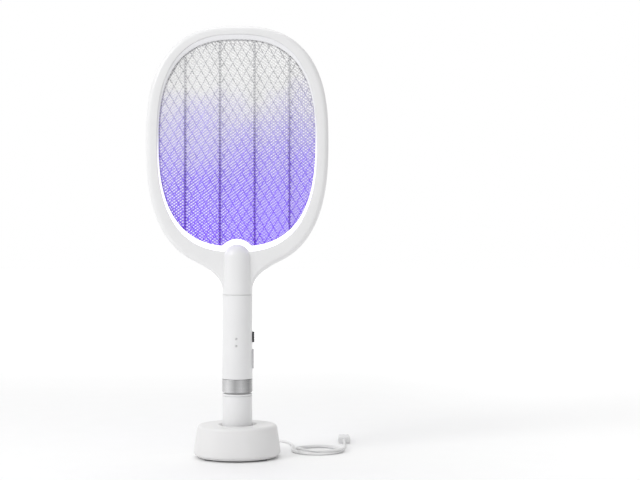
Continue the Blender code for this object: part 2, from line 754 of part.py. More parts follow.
def bayonet_socket():
    """The insert that takes the battery handle's neck, with a helical groove for each lug."""
    bore = NECK_RADIUS + 0.4 * MM
    web = NECK_TOP + 4 * MM
    wire_hole = 1.9 * MM
    flange_top, foot = RING_TOP + 2.3 * MM, RING_BOTTOM + 0.6 * MM
    sleeve = RING_INNER - 0.35 * MM
    profile = [(wire_hole, flange_top), (PLUG_RADIUS, flange_top)]
    profile += [(PLUG_RADIUS, RING_TOP + GAP), (sleeve, RING_TOP + GAP)]
    profile += [(sleeve, foot), (bore, foot), (bore, web), (wire_hole, web)]
    socket = turned("bayonet_socket", profile, "white_plastic")
    for number in range(LUG_COUNT):
        middle = lug_angle(number)
        groove = helical_bar(
            f"cut_groove_{number + 1}",
            NECK_RADIUS - 1 * MM,
            GROOVE_REACH,
            GROOVE_HEIGHT,
            middle + LUG_HALF_ANGLE + GROOVE_PLAY,
            GROOVE_SWEEP,
            LUG_LEVEL + (LUG_HALF_ANGLE + GROOVE_PLAY) / (2 * math.pi) * BAYONET_LEAD,
        )
        boolean(socket, groove)


def zap_button():
    """The long press button: a pill with a curved top, a captive flange and a stem."""
    wide, long = ZAP_BUTTON
    stem = (11.4 * MM, FLANGE_START, 1.5 * MM, 2 * MM)
    flange = (FLANGE_START, FLANGE_END, wide + 0.9 * MM, long + 0.6 * MM)
    body = (FLANGE_END, 22 * MM, wide, long)
    button = pill("zap_button", stepped([stem, flange, body]), ZAP_CENTRE, "grey_plastic")
    low, high = ZAP_CENTRE - 20 * MM, ZAP_CENTRE + 20 * MM
    skin = rod("skin_zap", HANDLE_RADIUS + ZAP_RISE, low, high, "Z", (0, 0), None, sides=64)
    boolean(button, skin, "INTERSECT")


def switch_knob():
    """The mode switch's sliding knob, with grip ribs, over a skirt that covers the slot."""
    wide, long = KNOB
    stem = (11.2 * MM, FLANGE_START, 1 * MM, 2 * MM)
    skirt = (FLANGE_START, FLANGE_END, wide + 1.1 * MM, long + 4.2 * MM)
    body = (FLANGE_END, 22 * MM, wide, long)
    knob = pill("switch_knob", stepped([stem, skirt, body]), MODE_CENTRE, "dark_plastic")
    low, high = MODE_CENTRE - 20 * MM, MODE_CENTRE + 20 * MM
    skin = rod("skin_mode", HANDLE_RADIUS + KNOB_RISE, low, high, "Z", (0, 0), None, sides=64)
    boolean(knob, skin, "INTERSECT")
    for number in range(1, 6):
        middle = MODE_CENTRE + (number - 3) * GRIP_RIB_PITCH
        notch_low = (18.7 * MM, -4 * MM, middle - 0.35 * MM)
        notch_high = (21 * MM, 4 * MM, middle + 0.35 * MM)
        boolean(knob, box(f"cut_rib_{number}", notch_low, notch_high, None))


def board_carrier():
    """The half-round cradle that the main board sits on."""
    top, bottom = JOINT_LINE - 15 * MM, RING_TOP + 2.8 * MM
    outer, inner = CARRIER_RADIUS, CARRIER_RADIUS - 1.4 * MM
    profile = [(inner, top), (outer, top), (outer, bottom), (inner, bottom)]
    carrier = turned("board_carrier", profile, "white_plastic")
    side = box("cut_carrier", (BOARD_FRONT - GAP, -20 * MM, 0.05), (20 * MM, 20 * MM, 0.2), None)
    boolean(carrier, side)
    for number, height in enumerate(LENS_PLACES, 1):
        hole = rod(f"cut_pipe_{number}", 1.5 * MM, -18 * MM, -10 * MM, "Y", (0, height), None)
        boolean(carrier, hole)


def electronics():
    low, high = BOARD_FRONT, BOARD_BACK
    box("main_board", (low, -13.2 * MM, 92.5 * MM), (high, 13.2 * MM, 165 * MM), "circuit_board")
    top = high + GAP
    tact_low = (top, -3 * MM, ZAP_CENTRE - 3 * MM)
    tact_high = (10.2 * MM, 3 * MM, ZAP_CENTRE + 3 * MM)
    box("tact_switch", tact_low, tact_high, "component_black", bevel=0.3 * MM)
    slide_low = (top, -3 * MM, MODE_CENTRE - 6 * MM)
    slide_high = (10.6 * MM, 3 * MM, MODE_CENTRE + 6 * MM)
    box("slide_switch", slide_low, slide_high, "steel", bevel=0.3 * MM)
    under = low - GAP
    low, high = (-9 * MM, -7 * MM, 97 * MM), (under, 7 * MM, 116 * MM)
    box("hv_transformer", low, high, "component_black", bevel=0.8 * MM)
    low, high = (-7 * MM, -6.5 * MM, 140 * MM), (under, 6.5 * MM, 158 * MM)
    box("hv_capacitor", low, high, "film_yellow", bevel=1 * MM)
    for number, height in enumerate(LENS_PLACES, 1):
        name = f"indicator_lens_{number}"
        rod(name, LENS_RADIUS, -17.1 * MM, -11.5 * MM, "Y", (0, height), "lit_plastic")
    rod("socket_contact", 1.5 * MM, NECK_TOP + 0.9 * MM, RING_TOP + 3.5 * MM, "Z", (0, 0), "brass")


def upper_handle():
    handle_tube()
    neck_plug()
    trim_ring()
    bayonet_socket()
    zap_button()
    switch_knob()
    board_carrier()
    electronics()


# ---------------------------------------------------------------- the battery handle


def lower_tube():
    top, bottom = SHOULDER - 2.6 * MM, HANDLE_BOTTOM + 3 * MM
    inner = LOWER_RADIUS - 1.6 * MM
    profile = [(inner, top), (LOWER_RADIUS, top), (LOWER_RADIUS, bottom), (inner, bottom)]
    turned("lower_tube", profile, "white_plastic", steps=36)


def neck_cap():
    """Closes the battery handle's top: a shoulder, and the neck with its two lugs."""
    flange = SHOULDER - 2.3 * MM
    profile = [(2.6 * MM, NECK_TOP), (NECK_RADIUS - 0.8 * MM, NECK_TOP)]
    profile += [(NECK_RADIUS, NECK_TOP - 0.8 * MM), (NECK_RADIUS, SHOULDER)]
    profile += [(LOWER_RADIUS - 1 * MM, SHOULDER), (LOWER_RADIUS, SHOULDER - 1 * MM)]
    profile += [(LOWER_RADIUS, flange), (14.8 * MM, flange), (14.8 * MM, flange - 5 * MM)]
    profile += [(13 * MM, flange - 5 * MM), (13 * MM, flange), (8.5 * MM, flange)]
    profile += [(8.5 * MM, NECK_TOP - 1.8 * MM), (2.6 * MM, NECK_TOP - 1.8 * MM)]
    cap = turned("neck_cap", profile, "white_plastic")
    for number in range(LUG_COUNT):
        lug = helical_bar(
            f"lug_{number + 1}",
            NECK_RADIUS - 0.8 * MM,
            LUG_REACH,
            LUG_HEIGHT,
            lug_angle(number) + LUG_HALF_ANGLE,
            2 * LUG_HALF_ANGLE,
            LUG_LEVEL + LUG_HALF_ANGLE / (2 * math.pi) * BAYONET_LEAD,
        )
        boolean(cap, lug, "UNION")
    rod("neck_contact", 2.2 * MM, NECK_TOP - 4.5 * MM, NECK_TOP + 0.5 * MM, "Z", (0, 0), "brass")


def bottom_cap():
    """The handle's foot, with a round recess and a ring-shaped one for the charging contacts."""
    bottom, ledge, plug = HANDLE_BOTTOM, HANDLE_BOTTOM + 2.7 * MM, HANDLE_BOTTOM + 6.5 * MM
    recess, floor = bottom + 1.9 * MM, bottom + CAP_FLOOR
    profile = [(0, floor), (13.2 * MM, floor), (13.2 * MM, plug)]
    profile += [(14.85 * MM, plug), (14.85 * MM, ledge), (LOWER_RADIUS, ledge)]
    profile += [(LOWER_RADIUS, bottom + 1.5 * MM), (LOWER_RADIUS - 1.5 * MM, bottom)]
    outer, inner, pad = CHARGE_RING[1] + GAP, CHARGE_RING[0] - GAP, PAD_RADIUS + GAP
    profile += [(outer, bottom), (outer, recess), (inner, recess), (inner, bottom)]
    profile += [(pad, bottom), (pad, recess), (0, recess)]
    turned("bottom_cap", profile, "white_plastic", closed=False)
    low, high = bottom + PAD_DEPTH, recess - GAP
    rod("charge_pad", PAD_RADIUS, low, high, "Z", (0, 0), "brass", sides=20)
    inner, outer = CHARGE_RING
    ring = [(inner, high), (outer, high), (outer, low), (inner, low)]
    turned("charge_ring", ring, "brass", steps=20)


def battery_handle():
    lower_tube()
    neck_cap()
    bottom_cap()
    board = HANDLE_BOTTOM + CAP_FLOOR + GAP
    rod("charge_board", 12.6 * MM, board, board + 1.2 * MM, "Z", (0, 0), "circuit_board", sides=20)
    start = board + 1.6 * MM
    rod("battery_cell", CELL_RADIUS, start, start + CELL_LENGTH, "Z", (0, 0), "cell_wrap", sides=28)
    inner, outer = NECK_RADIUS + 0.4 * MM, SEAL_OUTER
    low, high = SHOULDER + GAP, RING_BOTTOM - GAP
    turned("neck_seal", [(inner, high), (outer, high), (outer, low), (inner, low)], "white_rubber")


# ---------------------------------------------------------------- the dock


def dock_shell():
    """The dock's cover, open below, with a round hole for the well and a port at the rear."""
    top, bottom = DOCK_TOP, BASE_PLATE_TOP + GAP
    wide, narrow = DOCK_BOTTOM_RADIUS, DOCK_TOP_RADIUS
    profile = [(10 * MM, top), (narrow - 3.4 * MM, top), (narrow - 1.9 * MM, top - 0.4 * MM)]
    profile += [(narrow - 0.6 * MM, top - 1.5 * MM), (narrow, top - 3.2 * MM)]
    profile += [(wide, bottom + 4.5 * MM), (wide - 0.5 * MM, bottom + 2.2 * MM)]
    profile += [(wide - 1.6 * MM, bottom + 0.7 * MM), (wide - 3.2 * MM, bottom)]
    profile += [(wide - 4.6 * MM, bottom), (wide - 2.6 * MM, bottom + 4 * MM)]
    profile += [(narrow - 2.8 * MM, top - 4 * MM), (narrow - 4 * MM, top - 2.2 * MM)]
    profile += [(10 * MM, top - 2.2 * MM)]
    shell = turned("dock_shell", profile, "dock_plastic", steps=40, depth_share=DOCK_DEPTH_SHARE)
    hole = rod("cut_well", DOCK_HOLE_RADIUS, top - 10 * MM, top + 5 * MM, "Z", (0, 0), None, sides=48)
    boolean(shell, hole)
    low = (-PORT[0], 34 * MM, PORT_LEVEL - PORT[1])
    high = (PORT[0], 55 * MM, PORT_LEVEL + PORT[1])
    boolean(shell, box("cut_port", low, high, None))


def dock_well():
    """The cup that the handle stands in, with a wide rim and a hole for each charging pin."""
    rim = DOCK_TOP - 0.2 * MM
    outer = WELL_RADIUS + 1.7 * MM
    under = WELL_FLOOR - 1.6 * MM
    profile = [(0, WELL_FLOOR), (WELL_RADIUS, WELL_FLOOR), (WELL_RADIUS, rim - 4.3 * MM)]
    profile += [(WELL_MOUTH, rim), (WELL_RIM, rim), (WELL_RIM, rim - 3.3 * MM)]
    profile += [(outer, rim - 6 * MM), (outer, under), (0, under)]
    well = turned("dock_well", profile, "dock_plastic", closed=False)
    for number, y in enumerate(PIN_PLACES, 1):
        low, high = under - 3 * MM, WELL_FLOOR + 3 * MM
        hole = rod(f"cut_pin_{number}", PIN_BORE, low, high, "Z", (0, y), None)
        boolean(well, hole)


def charging_pins():
    low, high = 7.7 * MM, WELL_FLOOR - 1.6 * MM - GAP
    near, far = (-3.5 * MM, -11.5 * MM, low), (3.5 * MM, 3.5 * MM, high)
    block = box("pin_block", near, far, "component_black")
    for number, y in enumerate(PIN_PLACES, 1):
        bore = rod(f"cut_bore_{number}", 1.3 * MM, low - 2 * MM, high + 2 * MM, "Z", (0, y), None)
        boolean(block, bore)
        name = f"charge_pin_{number}"
        rod(name, PIN_RADIUS, 8.8 * MM, WELL_FLOOR + PAD_DEPTH, "Z", (0, y), "brass", sides=12)


def dock_base():
    top, bottom = BASE_PLATE_TOP, BASE_PLATE_BOTTOM
    radius = DOCK_BOTTOM_RADIUS - 3.6 * MM
    profile = [(0, top), (radius, top), (radius, bottom + 0.5 * MM)]
    profile += [(radius - 0.5 * MM, bottom), (0, bottom)]
    share = DOCK_DEPTH_SHARE
    turned("base_plate", profile, "dock_plastic", closed=False, depth_share=share)
    inner, outer, low, high = 26 * MM, 38 * MM, 4.2 * MM, 10.2 * MM
    ring = [(inner, high), (outer, high), (outer, low), (inner, low)]
    ballast = turned("ballast_ring", ring, "steel")
    boolean(ballast, box("cut_ballast", (-8.5 * MM, 10 * MM, 0), (8.5 * MM, 50 * MM, 0.02), None))
    box("dock_board", (-7 * MM, -14 * MM, 6.2 * MM), (7 * MM, 39.6 * MM, 7.4 * MM), "circuit_board")
    places = [(sx * FOOT_PLACE[0], sy * FOOT_PLACE[1]) for sx in (-1, 1) for sy in (-1, 1)]
    for number, across in enumerate(places, 1):
        rod(f"foot_{number}", FOOT_RADIUS, 0, FOOT_HEIGHT, "Z", across, "grey_rubber", sides=24)


def usb_socket():
    """The dock's receptacle, a metal box that is open to the rear."""
    low = (-SOCKET[0], 33.5 * MM, PORT_LEVEL - SOCKET[1])
    high = (SOCKET[0], 41.5 * MM, PORT_LEVEL + SOCKET[1])
    socket = box("usb_socket", low, high, "steel", bevel=0.9 * MM)
    mouth_low = (-SOCKET_MOUTH[0], 35 * MM, PORT_LEVEL - SOCKET_MOUTH[1])
    mouth_high = (SOCKET_MOUTH[0], 44 * MM, PORT_LEVEL + SOCKET_MOUTH[1])
    boolean(socket, box("cut_mouth", mouth_low, mouth_high, None))


def dock():
    dock_shell()
    dock_well()
    charging_pins()
    dock_base()
    usb_socket()


# ---------------------------------------------------------------- the USB lead


def smooth_route(points, step):
    """Points about a step apart on a Catmull-Rom curve through the given ones."""
    route = []
    padded = [points[0], *points, points[-1]]
    for p0, p1, p2, p3 in zip(padded, padded[1:], padded[2:], padded[3:], strict=False):
        pieces = max(1, round(math.dist(p1, p2) / step))
        for i in range(pieces):
            t = i / pieces
            place = []
            for a, b, c, d in zip(p0, p1, p2, p3, strict=True):
                bend = (2 * a - 5 * b + 4 * c - d) * t**2 + (3 * b - a - 3 * c + d) * t**3
                place.append(0.5 * (2 * b + (c - a) * t + bend))
            route.append(tuple(place))
    return [*route, tuple(points[-1])]


def cord(name, points):
    curve = bpy.data.curves.new(name, "CURVE")
    curve.dimensions = "3D"
    curve.bevel_depth = CORD_RADIUS
    curve.bevel_resolution = 2
    curve.use_fill_caps = True
    route = smooth_route(points, 7 * MM)
    spline = curve.splines.new("POLY")
    spline.points.add(len(route) - 1)
    for point, place in zip(spline.points, route, strict=True):
        point.co = (*place, 1)
    add(name, curve, "cable_jacket")


LEAD_IN = [  # from the plug behind the dock, down to the table and round to the coil's left side
    (0, C_GRIP_FRONT + GRIP_LENGTH + RELIEF_LENGTH + GAP, PORT_LEVEL),
    (0.4 * MM, 79 * MM, 9.0 * MM),
    (2 * MM, 87 * MM, 5.4 * MM),
    (6 * MM, 96 * MM, 2.4 * MM),
    (13 * MM, 105 * MM, CORD_LEVEL),
    (24 * MM, 111 * MM, CORD_LEVEL),
    (36 * MM, 111 * MM, CORD_LEVEL),
    (47 * MM, 105 * MM, CORD_LEVEL),
    (55 * MM, 94 * MM, CORD_LEVEL),
    (59 * MM, 80 * MM, CORD_LEVEL),
    (LEAD_IN_X, 68 * MM, CORD_LEVEL),
    (LEAD_IN_X, 56.5 * MM, CORD_LEVEL),
]
LEAD_OUT = [  # from the coil's right side back to the USB-A plug
    (LEAD_OUT_X, 55 * MM, 3.4 * MM),
    (LEAD_OUT_X + 0.4 * MM, 63 * MM, 1.8 * MM),
    (A_PLUG_X, 71 * MM, 2.0 * MM),
    (A_PLUG_X, 78 * MM, 3.3 * MM),
    (A_PLUG_X, A_RELIEF_START - GAP, A_GRIP_LEVEL),
]


def plug_grip(name, x, relief_end, grip_start, half_size, level):
    """A moulded grip along Y, joined to the strain relief that the cord comes out of."""
    half_wide, half_tall = half_size
    ends = sorted((grip_start, grip_start + math.copysign(GRIP_LENGTH, grip_start - relief_end)))
    low = (x - half_wide, ends[0], level - half_tall)
    high = (x + half_wide, ends[1], level + half_tall)
    grip = box(name, low, high, "cable_jacket", bevel=1.2 * MM)
    inside = grip_start + math.copysign(2 * MM, grip_start - relief_end)
    start, end = sorted((relief_end, inside))
    relief = rod(f"relief_{name}", RELIEF_RADIUS, start, end, "Y", (x, level), None)
    return boolean(grip, relief, "UNION")


def usb_c_plug():
    grip_end = C_GRIP_FRONT + GRIP_LENGTH
    plug_grip("usb_c_grip", 0, grip_end + RELIEF_LENGTH, grip_end, C_GRIP, PORT_LEVEL)
    low = (-C_SHELL[0], 36.4 * MM, PORT_LEVEL - C_SHELL[1])
    high = (C_SHELL[0], C_GRIP_FRONT - GAP, PORT_LEVEL + C_SHELL[1])
    shell = box("usb_c_shell", low, high, "steel", bevel=1.1 * MM)
    mouth_low = (-C_MOUTH[0], 30 * MM, PORT_LEVEL - C_MOUTH[1])
    mouth_high = (C_MOUTH[0], 41 * MM, PORT_LEVEL + C_MOUTH[1])
    boolean(shell, box("cut_c_mouth", mouth_low, mouth_high, None))


def usb_a_plug():
    x = A_PLUG_X
    start = A_RELIEF_START + RELIEF_LENGTH
    plug_grip("usb_a_grip", x, A_RELIEF_START, start, A_GRIP, A_GRIP_LEVEL)
    front = start + GRIP_LENGTH + GAP
    low = (x - A_SHELL[0], front, A_GRIP_LEVEL - A_SHELL[1])
    high = (x + A_SHELL[0], front + A_SHELL_LENGTH, A_GRIP_LEVEL + A_SHELL[1])
    shell = box("usb_a_shell", low, high, "steel", bevel=0.5 * MM)
    mouth_low = (x - A_MOUTH[0], front + 2 * MM, A_GRIP_LEVEL)
    mouth_high = (x + A_MOUTH[0], front + 20 * MM, A_GRIP_LEVEL + A_MOUTH[1])
    boolean(shell, box("cut_a_mouth", mouth_low, mouth_high, None))


def usb_lead():
    cord("cord_lead_in", LEAD_IN)
    cord("cord_lead_out", LEAD_OUT)
    height = 4.3 * CORD_RADIUS
    corner = 1 * MM
    profile = [(COIL_INSIDE + corner, height), (COIL_OUTSIDE - corner, height)]
    profile += [(COIL_OUTSIDE, height - corner), (COIL_OUTSIDE, corner), (COIL_OUTSIDE - corner, 0)]
    profile += [(COIL_INSIDE + corner, 0), (COIL_INSIDE, corner), (COIL_INSIDE, height - corner)]
    coil = turned("cord_coil", profile, "cable_jacket", steps=32)
    coil.location = (*COIL_CENTRE, 0)
    usb_c_plug()
    usb_a_plug()


racket_head()
upper_handle()
battery_handle()
dock()
usb_lead()
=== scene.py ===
"""Looks of the electric fly swatter: docked, its lead plugged in, on a pale table.

Metres, +Z up, the strike face towards -Y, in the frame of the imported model.
"""

import json
import math

import bmesh
import bpy
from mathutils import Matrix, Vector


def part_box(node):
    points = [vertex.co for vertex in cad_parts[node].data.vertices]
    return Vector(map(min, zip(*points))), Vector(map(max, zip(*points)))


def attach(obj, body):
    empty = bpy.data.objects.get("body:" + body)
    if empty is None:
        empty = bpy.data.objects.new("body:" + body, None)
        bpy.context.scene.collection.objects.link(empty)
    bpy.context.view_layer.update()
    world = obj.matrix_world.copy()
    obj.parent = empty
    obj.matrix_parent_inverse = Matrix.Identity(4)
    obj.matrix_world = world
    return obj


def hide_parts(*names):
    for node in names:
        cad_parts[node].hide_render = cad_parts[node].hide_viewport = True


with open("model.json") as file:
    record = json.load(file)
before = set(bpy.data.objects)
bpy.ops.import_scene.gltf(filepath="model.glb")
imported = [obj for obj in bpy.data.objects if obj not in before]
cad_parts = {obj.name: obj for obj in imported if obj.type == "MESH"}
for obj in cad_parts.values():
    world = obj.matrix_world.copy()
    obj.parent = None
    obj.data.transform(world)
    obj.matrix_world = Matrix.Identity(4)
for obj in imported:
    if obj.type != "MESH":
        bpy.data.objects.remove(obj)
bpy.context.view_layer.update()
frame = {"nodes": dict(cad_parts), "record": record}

MM = 0.001
GAP = 0.3 * MM


def in_scene(name, data):
    obj = bpy.data.objects.new(name, data)
    bpy.context.scene.collection.objects.link(obj)
    return obj


# ---------- camera

CAMERA_DISTANCE = 1450 * MM
CAMERA_ASIDE = 93 * MM
CAMERA_LEVEL = 244 * MM
VIEW_WIDTH = 720 * MM  # what the picture's width covers at the swatter
SENSOR_WIDTH = 36

camera_data = bpy.data.cameras.new("camera")
camera_data.sensor_width = SENSOR_WIDTH
camera_data.lens = SENSOR_WIDTH * CAMERA_DISTANCE / VIEW_WIDTH
camera = in_scene("camera", camera_data)
camera.location = (CAMERA_ASIDE, -CAMERA_DISTANCE, CAMERA_LEVEL)
camera.rotation_euler = (math.pi / 2, 0, 0)
bpy.context.scene.camera = camera


# ---------- places, from the frame


def lowest(node, axis="Z"):
    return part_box(node)[0]["XYZ".index(axis)]


def highest(node, axis="Z"):
    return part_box(node)[1]["XYZ".index(axis)]


def middle(node, axis):
    return (lowest(node, axis) + highest(node, axis)) / 2


def spot_of(node):
    return middle(node, "X"), middle(node, "Y")


GRID_DROP = 127.5 * MM
HEAD_CENTRE = lowest("front_grid") + GRID_DROP
JOINT_LINE = highest("handle_tube")
HANDLE_RADIUS = highest("handle_tube", "X")
HALF_DEPTH = highest("head_frame_rear", "Y")

# The head's outlines: half width, height above HEAD_CENTRE, drop below it.
HEAD_POWER = 2.6
OUTER = (102.5 * MM, 129 * MM, 143 * MM)
FACE_EDGE = (89.5 * MM, 119 * MM, 124.5 * MM)
OPENING = (87.8 * MM, 113.5 * MM, 118.5 * MM)
EDGE_ROUND = 6 * MM
CLAMP_DEPTH = 5.5 * MM
WALL = 1.8 * MM
DOME_DROP = 131.3 * MM
FACE_NOTCH = 15.3 * MM
OPENING_NOTCH = 21 * MM
FLARE_START_X = 50 * MM
FLARE_FIRST = (34.5 * MM, -141.6 * MM)
FLARE_SECOND = (HANDLE_RADIUS, -152 * MM)
FLARE_END = (HANDLE_RADIUS, -167 * MM)


# ---------- materials


class Wiring:
    """Short ways to add nodes to a material's or the world's tree."""

    def __init__(self, tree, coordinates="Object"):
        self.nodes = tree.nodes
        self.links = tree.links
        self.place = self.nodes.new("ShaderNodeTexCoord").outputs[coordinates]

    def noise(self, scale, detail, stretch=(1, 1, 1)):
        mapping = self.nodes.new("ShaderNodeMapping")
        mapping.inputs["Scale"].default_value = stretch
        self.links.new(self.place, mapping.inputs["Vector"])
        noise = self.nodes.new("ShaderNodeTexNoise")
        noise.inputs["Scale"].default_value = scale
        noise.inputs["Detail"].default_value = detail
        self.links.new(mapping.outputs["Vector"], noise.inputs["Vector"])
        return noise.outputs["Fac"]

    def span(self, value, low, high, out_low=0.0, out_high=1.0, smooth=False):
        node = self.nodes.new("ShaderNodeMapRange")
        node.interpolation_type = "SMOOTHSTEP" if smooth else "LINEAR"
        names = ("From Min", "From Max", "To Min", "To Max")
        for name, number in zip(names, (low, high, out_low, out_high), strict=True):
            node.inputs[name].default_value = number
        self.links.new(value, node.inputs["Value"])
        return node.outputs["Result"]

    def ramp(self, value, stops):
        node = self.nodes.new("ShaderNodeValToRGB")
        elements = node.color_ramp.elements
        while len(elements) < len(stops):
            elements.new(0.5)
        for element, (position, colour) in zip(elements, stops, strict=True):
            element.position = position
            element.color = (*colour, 1.0)
        self.links.new(value, node.inputs["Fac"])
        return node.outputs["Color"]

    def maths(self, operation, first, second):
        node = self.nodes.new("ShaderNodeMath")
        node.operation = operation
        self.links.new(first, node.inputs[0])
        self.links.new(second, node.inputs[1])
        return node.outputs["Value"]

    def part_of_place(self, axis):
        node = self.nodes.new("ShaderNodeSeparateXYZ")
        self.links.new(self.place, node.inputs["Vector"])
        return node.outputs[axis]


class Shading(Wiring):
    """A Principled material."""

    def __init__(self, name):
        self.name = name
        self.material = bpy.data.materials.new(name)
        self.material.use_nodes = True
        super().__init__(self.material.node_tree)
        self.shader = self.nodes["Principled BSDF"]

    def link(self, output, name):
        self.links.new(output, self.shader.inputs[name])

    def bump(self, height, strength, distance):
        node = self.nodes.new("ShaderNodeBump")
        node.inputs["Strength"].default_value = strength
        node.inputs["Distance"].default_value = distance
        self.links.new(height, node.inputs["Height"])
        self.link(node.outputs["Normal"], "Normal")


def shade(colour, factor):
    return tuple(min(1.0, channel * factor) for channel in colour)


MOST_NOISE = (0.3, 0.7)  # nearly all of a soft noise lies between these
MOST_LINES = (0.25, 0.75)
GRAIN_DEPTH = 0.1 * MM
BRUSH_DEPTH = 0.05 * MM
TONE_SCALE = 28
CLOUD_SCALE = 22
PLASTIC_IOR = 1.49
COAT_ROUGHNESS = 0.12


def moulded(name, colour, roughness, grain=900, relief=0.012, coat=0.0, mottle=0.03, patchy=0.05):
    """Moulded plastic or rubber: a fine spark-eroded grain and faint variation of tone."""
    made = Shading(name)
    low, high = MOST_NOISE
    tone = made.ramp(made.noise(TONE_SCALE, 2), [(low, shade(colour, 1 - mottle)), (high, colour)])
    made.link(tone, "Base Color")
    fine = made.noise(grain, 2)
    made.link(made.span(fine, low, high, roughness - patchy, roughness + patchy), "Roughness")
    made.bump(fine, relief, GRAIN_DEPTH)
    made.shader.inputs["IOR"].default_value = PLASTIC_IOR
    made.shader.inputs["Coat Weight"].default_value = coat
    made.shader.inputs["Coat Roughness"].default_value = COAT_ROUGHNESS
    return made


def metal(name, colour, roughness, stretch, grain=60, relief=0.05):
    """Metal with brush lines, which run along the axis that stretch makes small."""
    made = Shading(name)
    low, high = MOST_LINES
    lines = made.noise(grain, 5, stretch)
    tone = made.ramp(lines, [(low, shade(colour, 0.82)), (high, shade(colour, 1.1))])
    made.link(tone, "Base Color")
    made.link(made.span(lines, low, high, roughness - 0.08, roughness + 0.1), "Roughness")
    made.shader.inputs["Metallic"].default_value = 1.0
    made.bump(lines, relief, BRUSH_DEPTH)
    return made


# Heights over which the lamp's light is painted on as a glow.
LAMP_LOW = HEAD_CENTRE - OPENING[2]
LAMP_HIGH = HEAD_CENTRE + 62 * MM
LIP_HIGH = HEAD_CENTRE + 40 * MM
CLOUD_DRIFT = 14 * MM
# Colours of the painted violet glow, from the foot of the head upwards.
PAINTED_VIOLET_GLOW = [(0.0, (0.34, 0.16, 1.0)), (0.4, (0.44, 0.30, 1.0)), (1.0, (0.75, 0.72, 1.0))]
# Painted shade and painted violet lamp light in the ribs' base colour: dark violet at the foot, lighter
# grey towards the top.
RIB_PAINTED_SHADE_AND_LIGHT = [(0.0, (0.10, 0.045, 0.36)), (0.5, (0.15, 0.11, 0.36)), (0.8, (0.42, 0.41, 0.52))]
RIB_PAINTED_SHADE_AND_LIGHT += [(1.0, (0.60, 0.60, 0.62))]


def painted_lamp_light(made, strength, top=LAMP_HIGH, stops=PAINTED_VIOLET_GLOW, painted_light_tints=None):
    """Paints the lamp's violet light on as a glow, though the part is no lamp, strongest at the foot of
    the head and gone by top; given tints paint it into the base colour too.
    """
    height = made.part_of_place("Z")
    cloud = made.span(made.noise(CLOUD_SCALE, 2), *MOST_NOISE, -CLOUD_DRIFT, CLOUD_DRIFT)
    height = made.maths("ADD", height, cloud)
    share = made.span(height, LAMP_LOW, top)
    made.link(made.ramp(share, stops), "Emission Color")
    made.link(made.span(share, 0.0, 1.0, strength, 0.0, smooth=True), "Emission Strength")
    if painted_light_tints:
        made.link(made.ramp(share, painted_light_tints), "Base Color")
    return made


def metal_with_painted_lamp_light(name, grey, strength):
    """Wire that is grey at the head's top, with the lamp's violet light painted into its colour and as a
    glow lower down.
    """
    made = metal(name, grey, 0.4, (1, 1, 1), 300)
    # Painted violet light in the wire's base colour, strongest at the foot.
    painted_light_tints = [
        (0.0, (0.25, 0.10, 0.92)),
        (0.4, (0.36, 0.24, 0.92)),
        (0.75, (0.62, 0.57, 0.92)),
        (1.0, grey),
    ]
    return painted_lamp_light(made, strength, painted_light_tints=painted_light_tints)


def ring_with_painted_reflections(name, painted_reflection_bands, roughness):
    """A lathe-brushed ring: fine lines round it, and light and dark bands up it, which are painted
    reflections in its base colour.
    """
    made = metal(name, (0.5, 0.5, 0.5), roughness, (0.4, 0.4, 30), 26, 0.12)
    sweep = made.nodes.new("ShaderNodeTexGradient")
    sweep.gradient_type = "RADIAL"
    made.links.new(made.place, sweep.inputs["Vector"])
    stops = [(place, (tone, tone, tone * 1.01)) for place, tone in painted_reflection_bands]
    made.link(made.ramp(sweep.outputs["Fac"], stops), "Base Color")
    return made


# Painted reflections: light and dark tones in the ring's base colour by angle round it.
RING_PAINTED_REFLECTIONS = [(0.0, 0.46), (0.147, 0.74), (0.235, 0.40), (0.30, 0.58), (0.39, 0.30), (0.5, 0.5)]
RING_PAINTED_REFLECTIONS += [(0.61, 0.32), (0.70, 0.6), (0.765, 0.42), (0.853, 0.72), (1.0, 0.46)]


def circuit_board(name, colour):
    made = Shading(name)
    bricks = made.nodes.new("ShaderNodeTexBrick")
    bricks.inputs["Scale"].default_value = 160
    bricks.inputs["Mortar Size"].default_value = 0.04
    bricks.inputs["Color1"].default_value = (*colour, 1.0)
    bricks.inputs["Color2"].default_value = (*shade(colour, 0.8), 1.0)
    bricks.inputs["Mortar"].default_value = (*shade(colour, 1.6), 1.0)
    made.links.new(made.place, bricks.inputs["Vector"])
    made.link(bricks.outputs["Color"], "Base Color")
    made.bump(bricks.outputs["Fac"], 0.2, BRUSH_DEPTH)
    made.shader.inputs["Roughness"].default_value = 0.35
    return made


WHITE = (0.80, 0.80, 0.805)
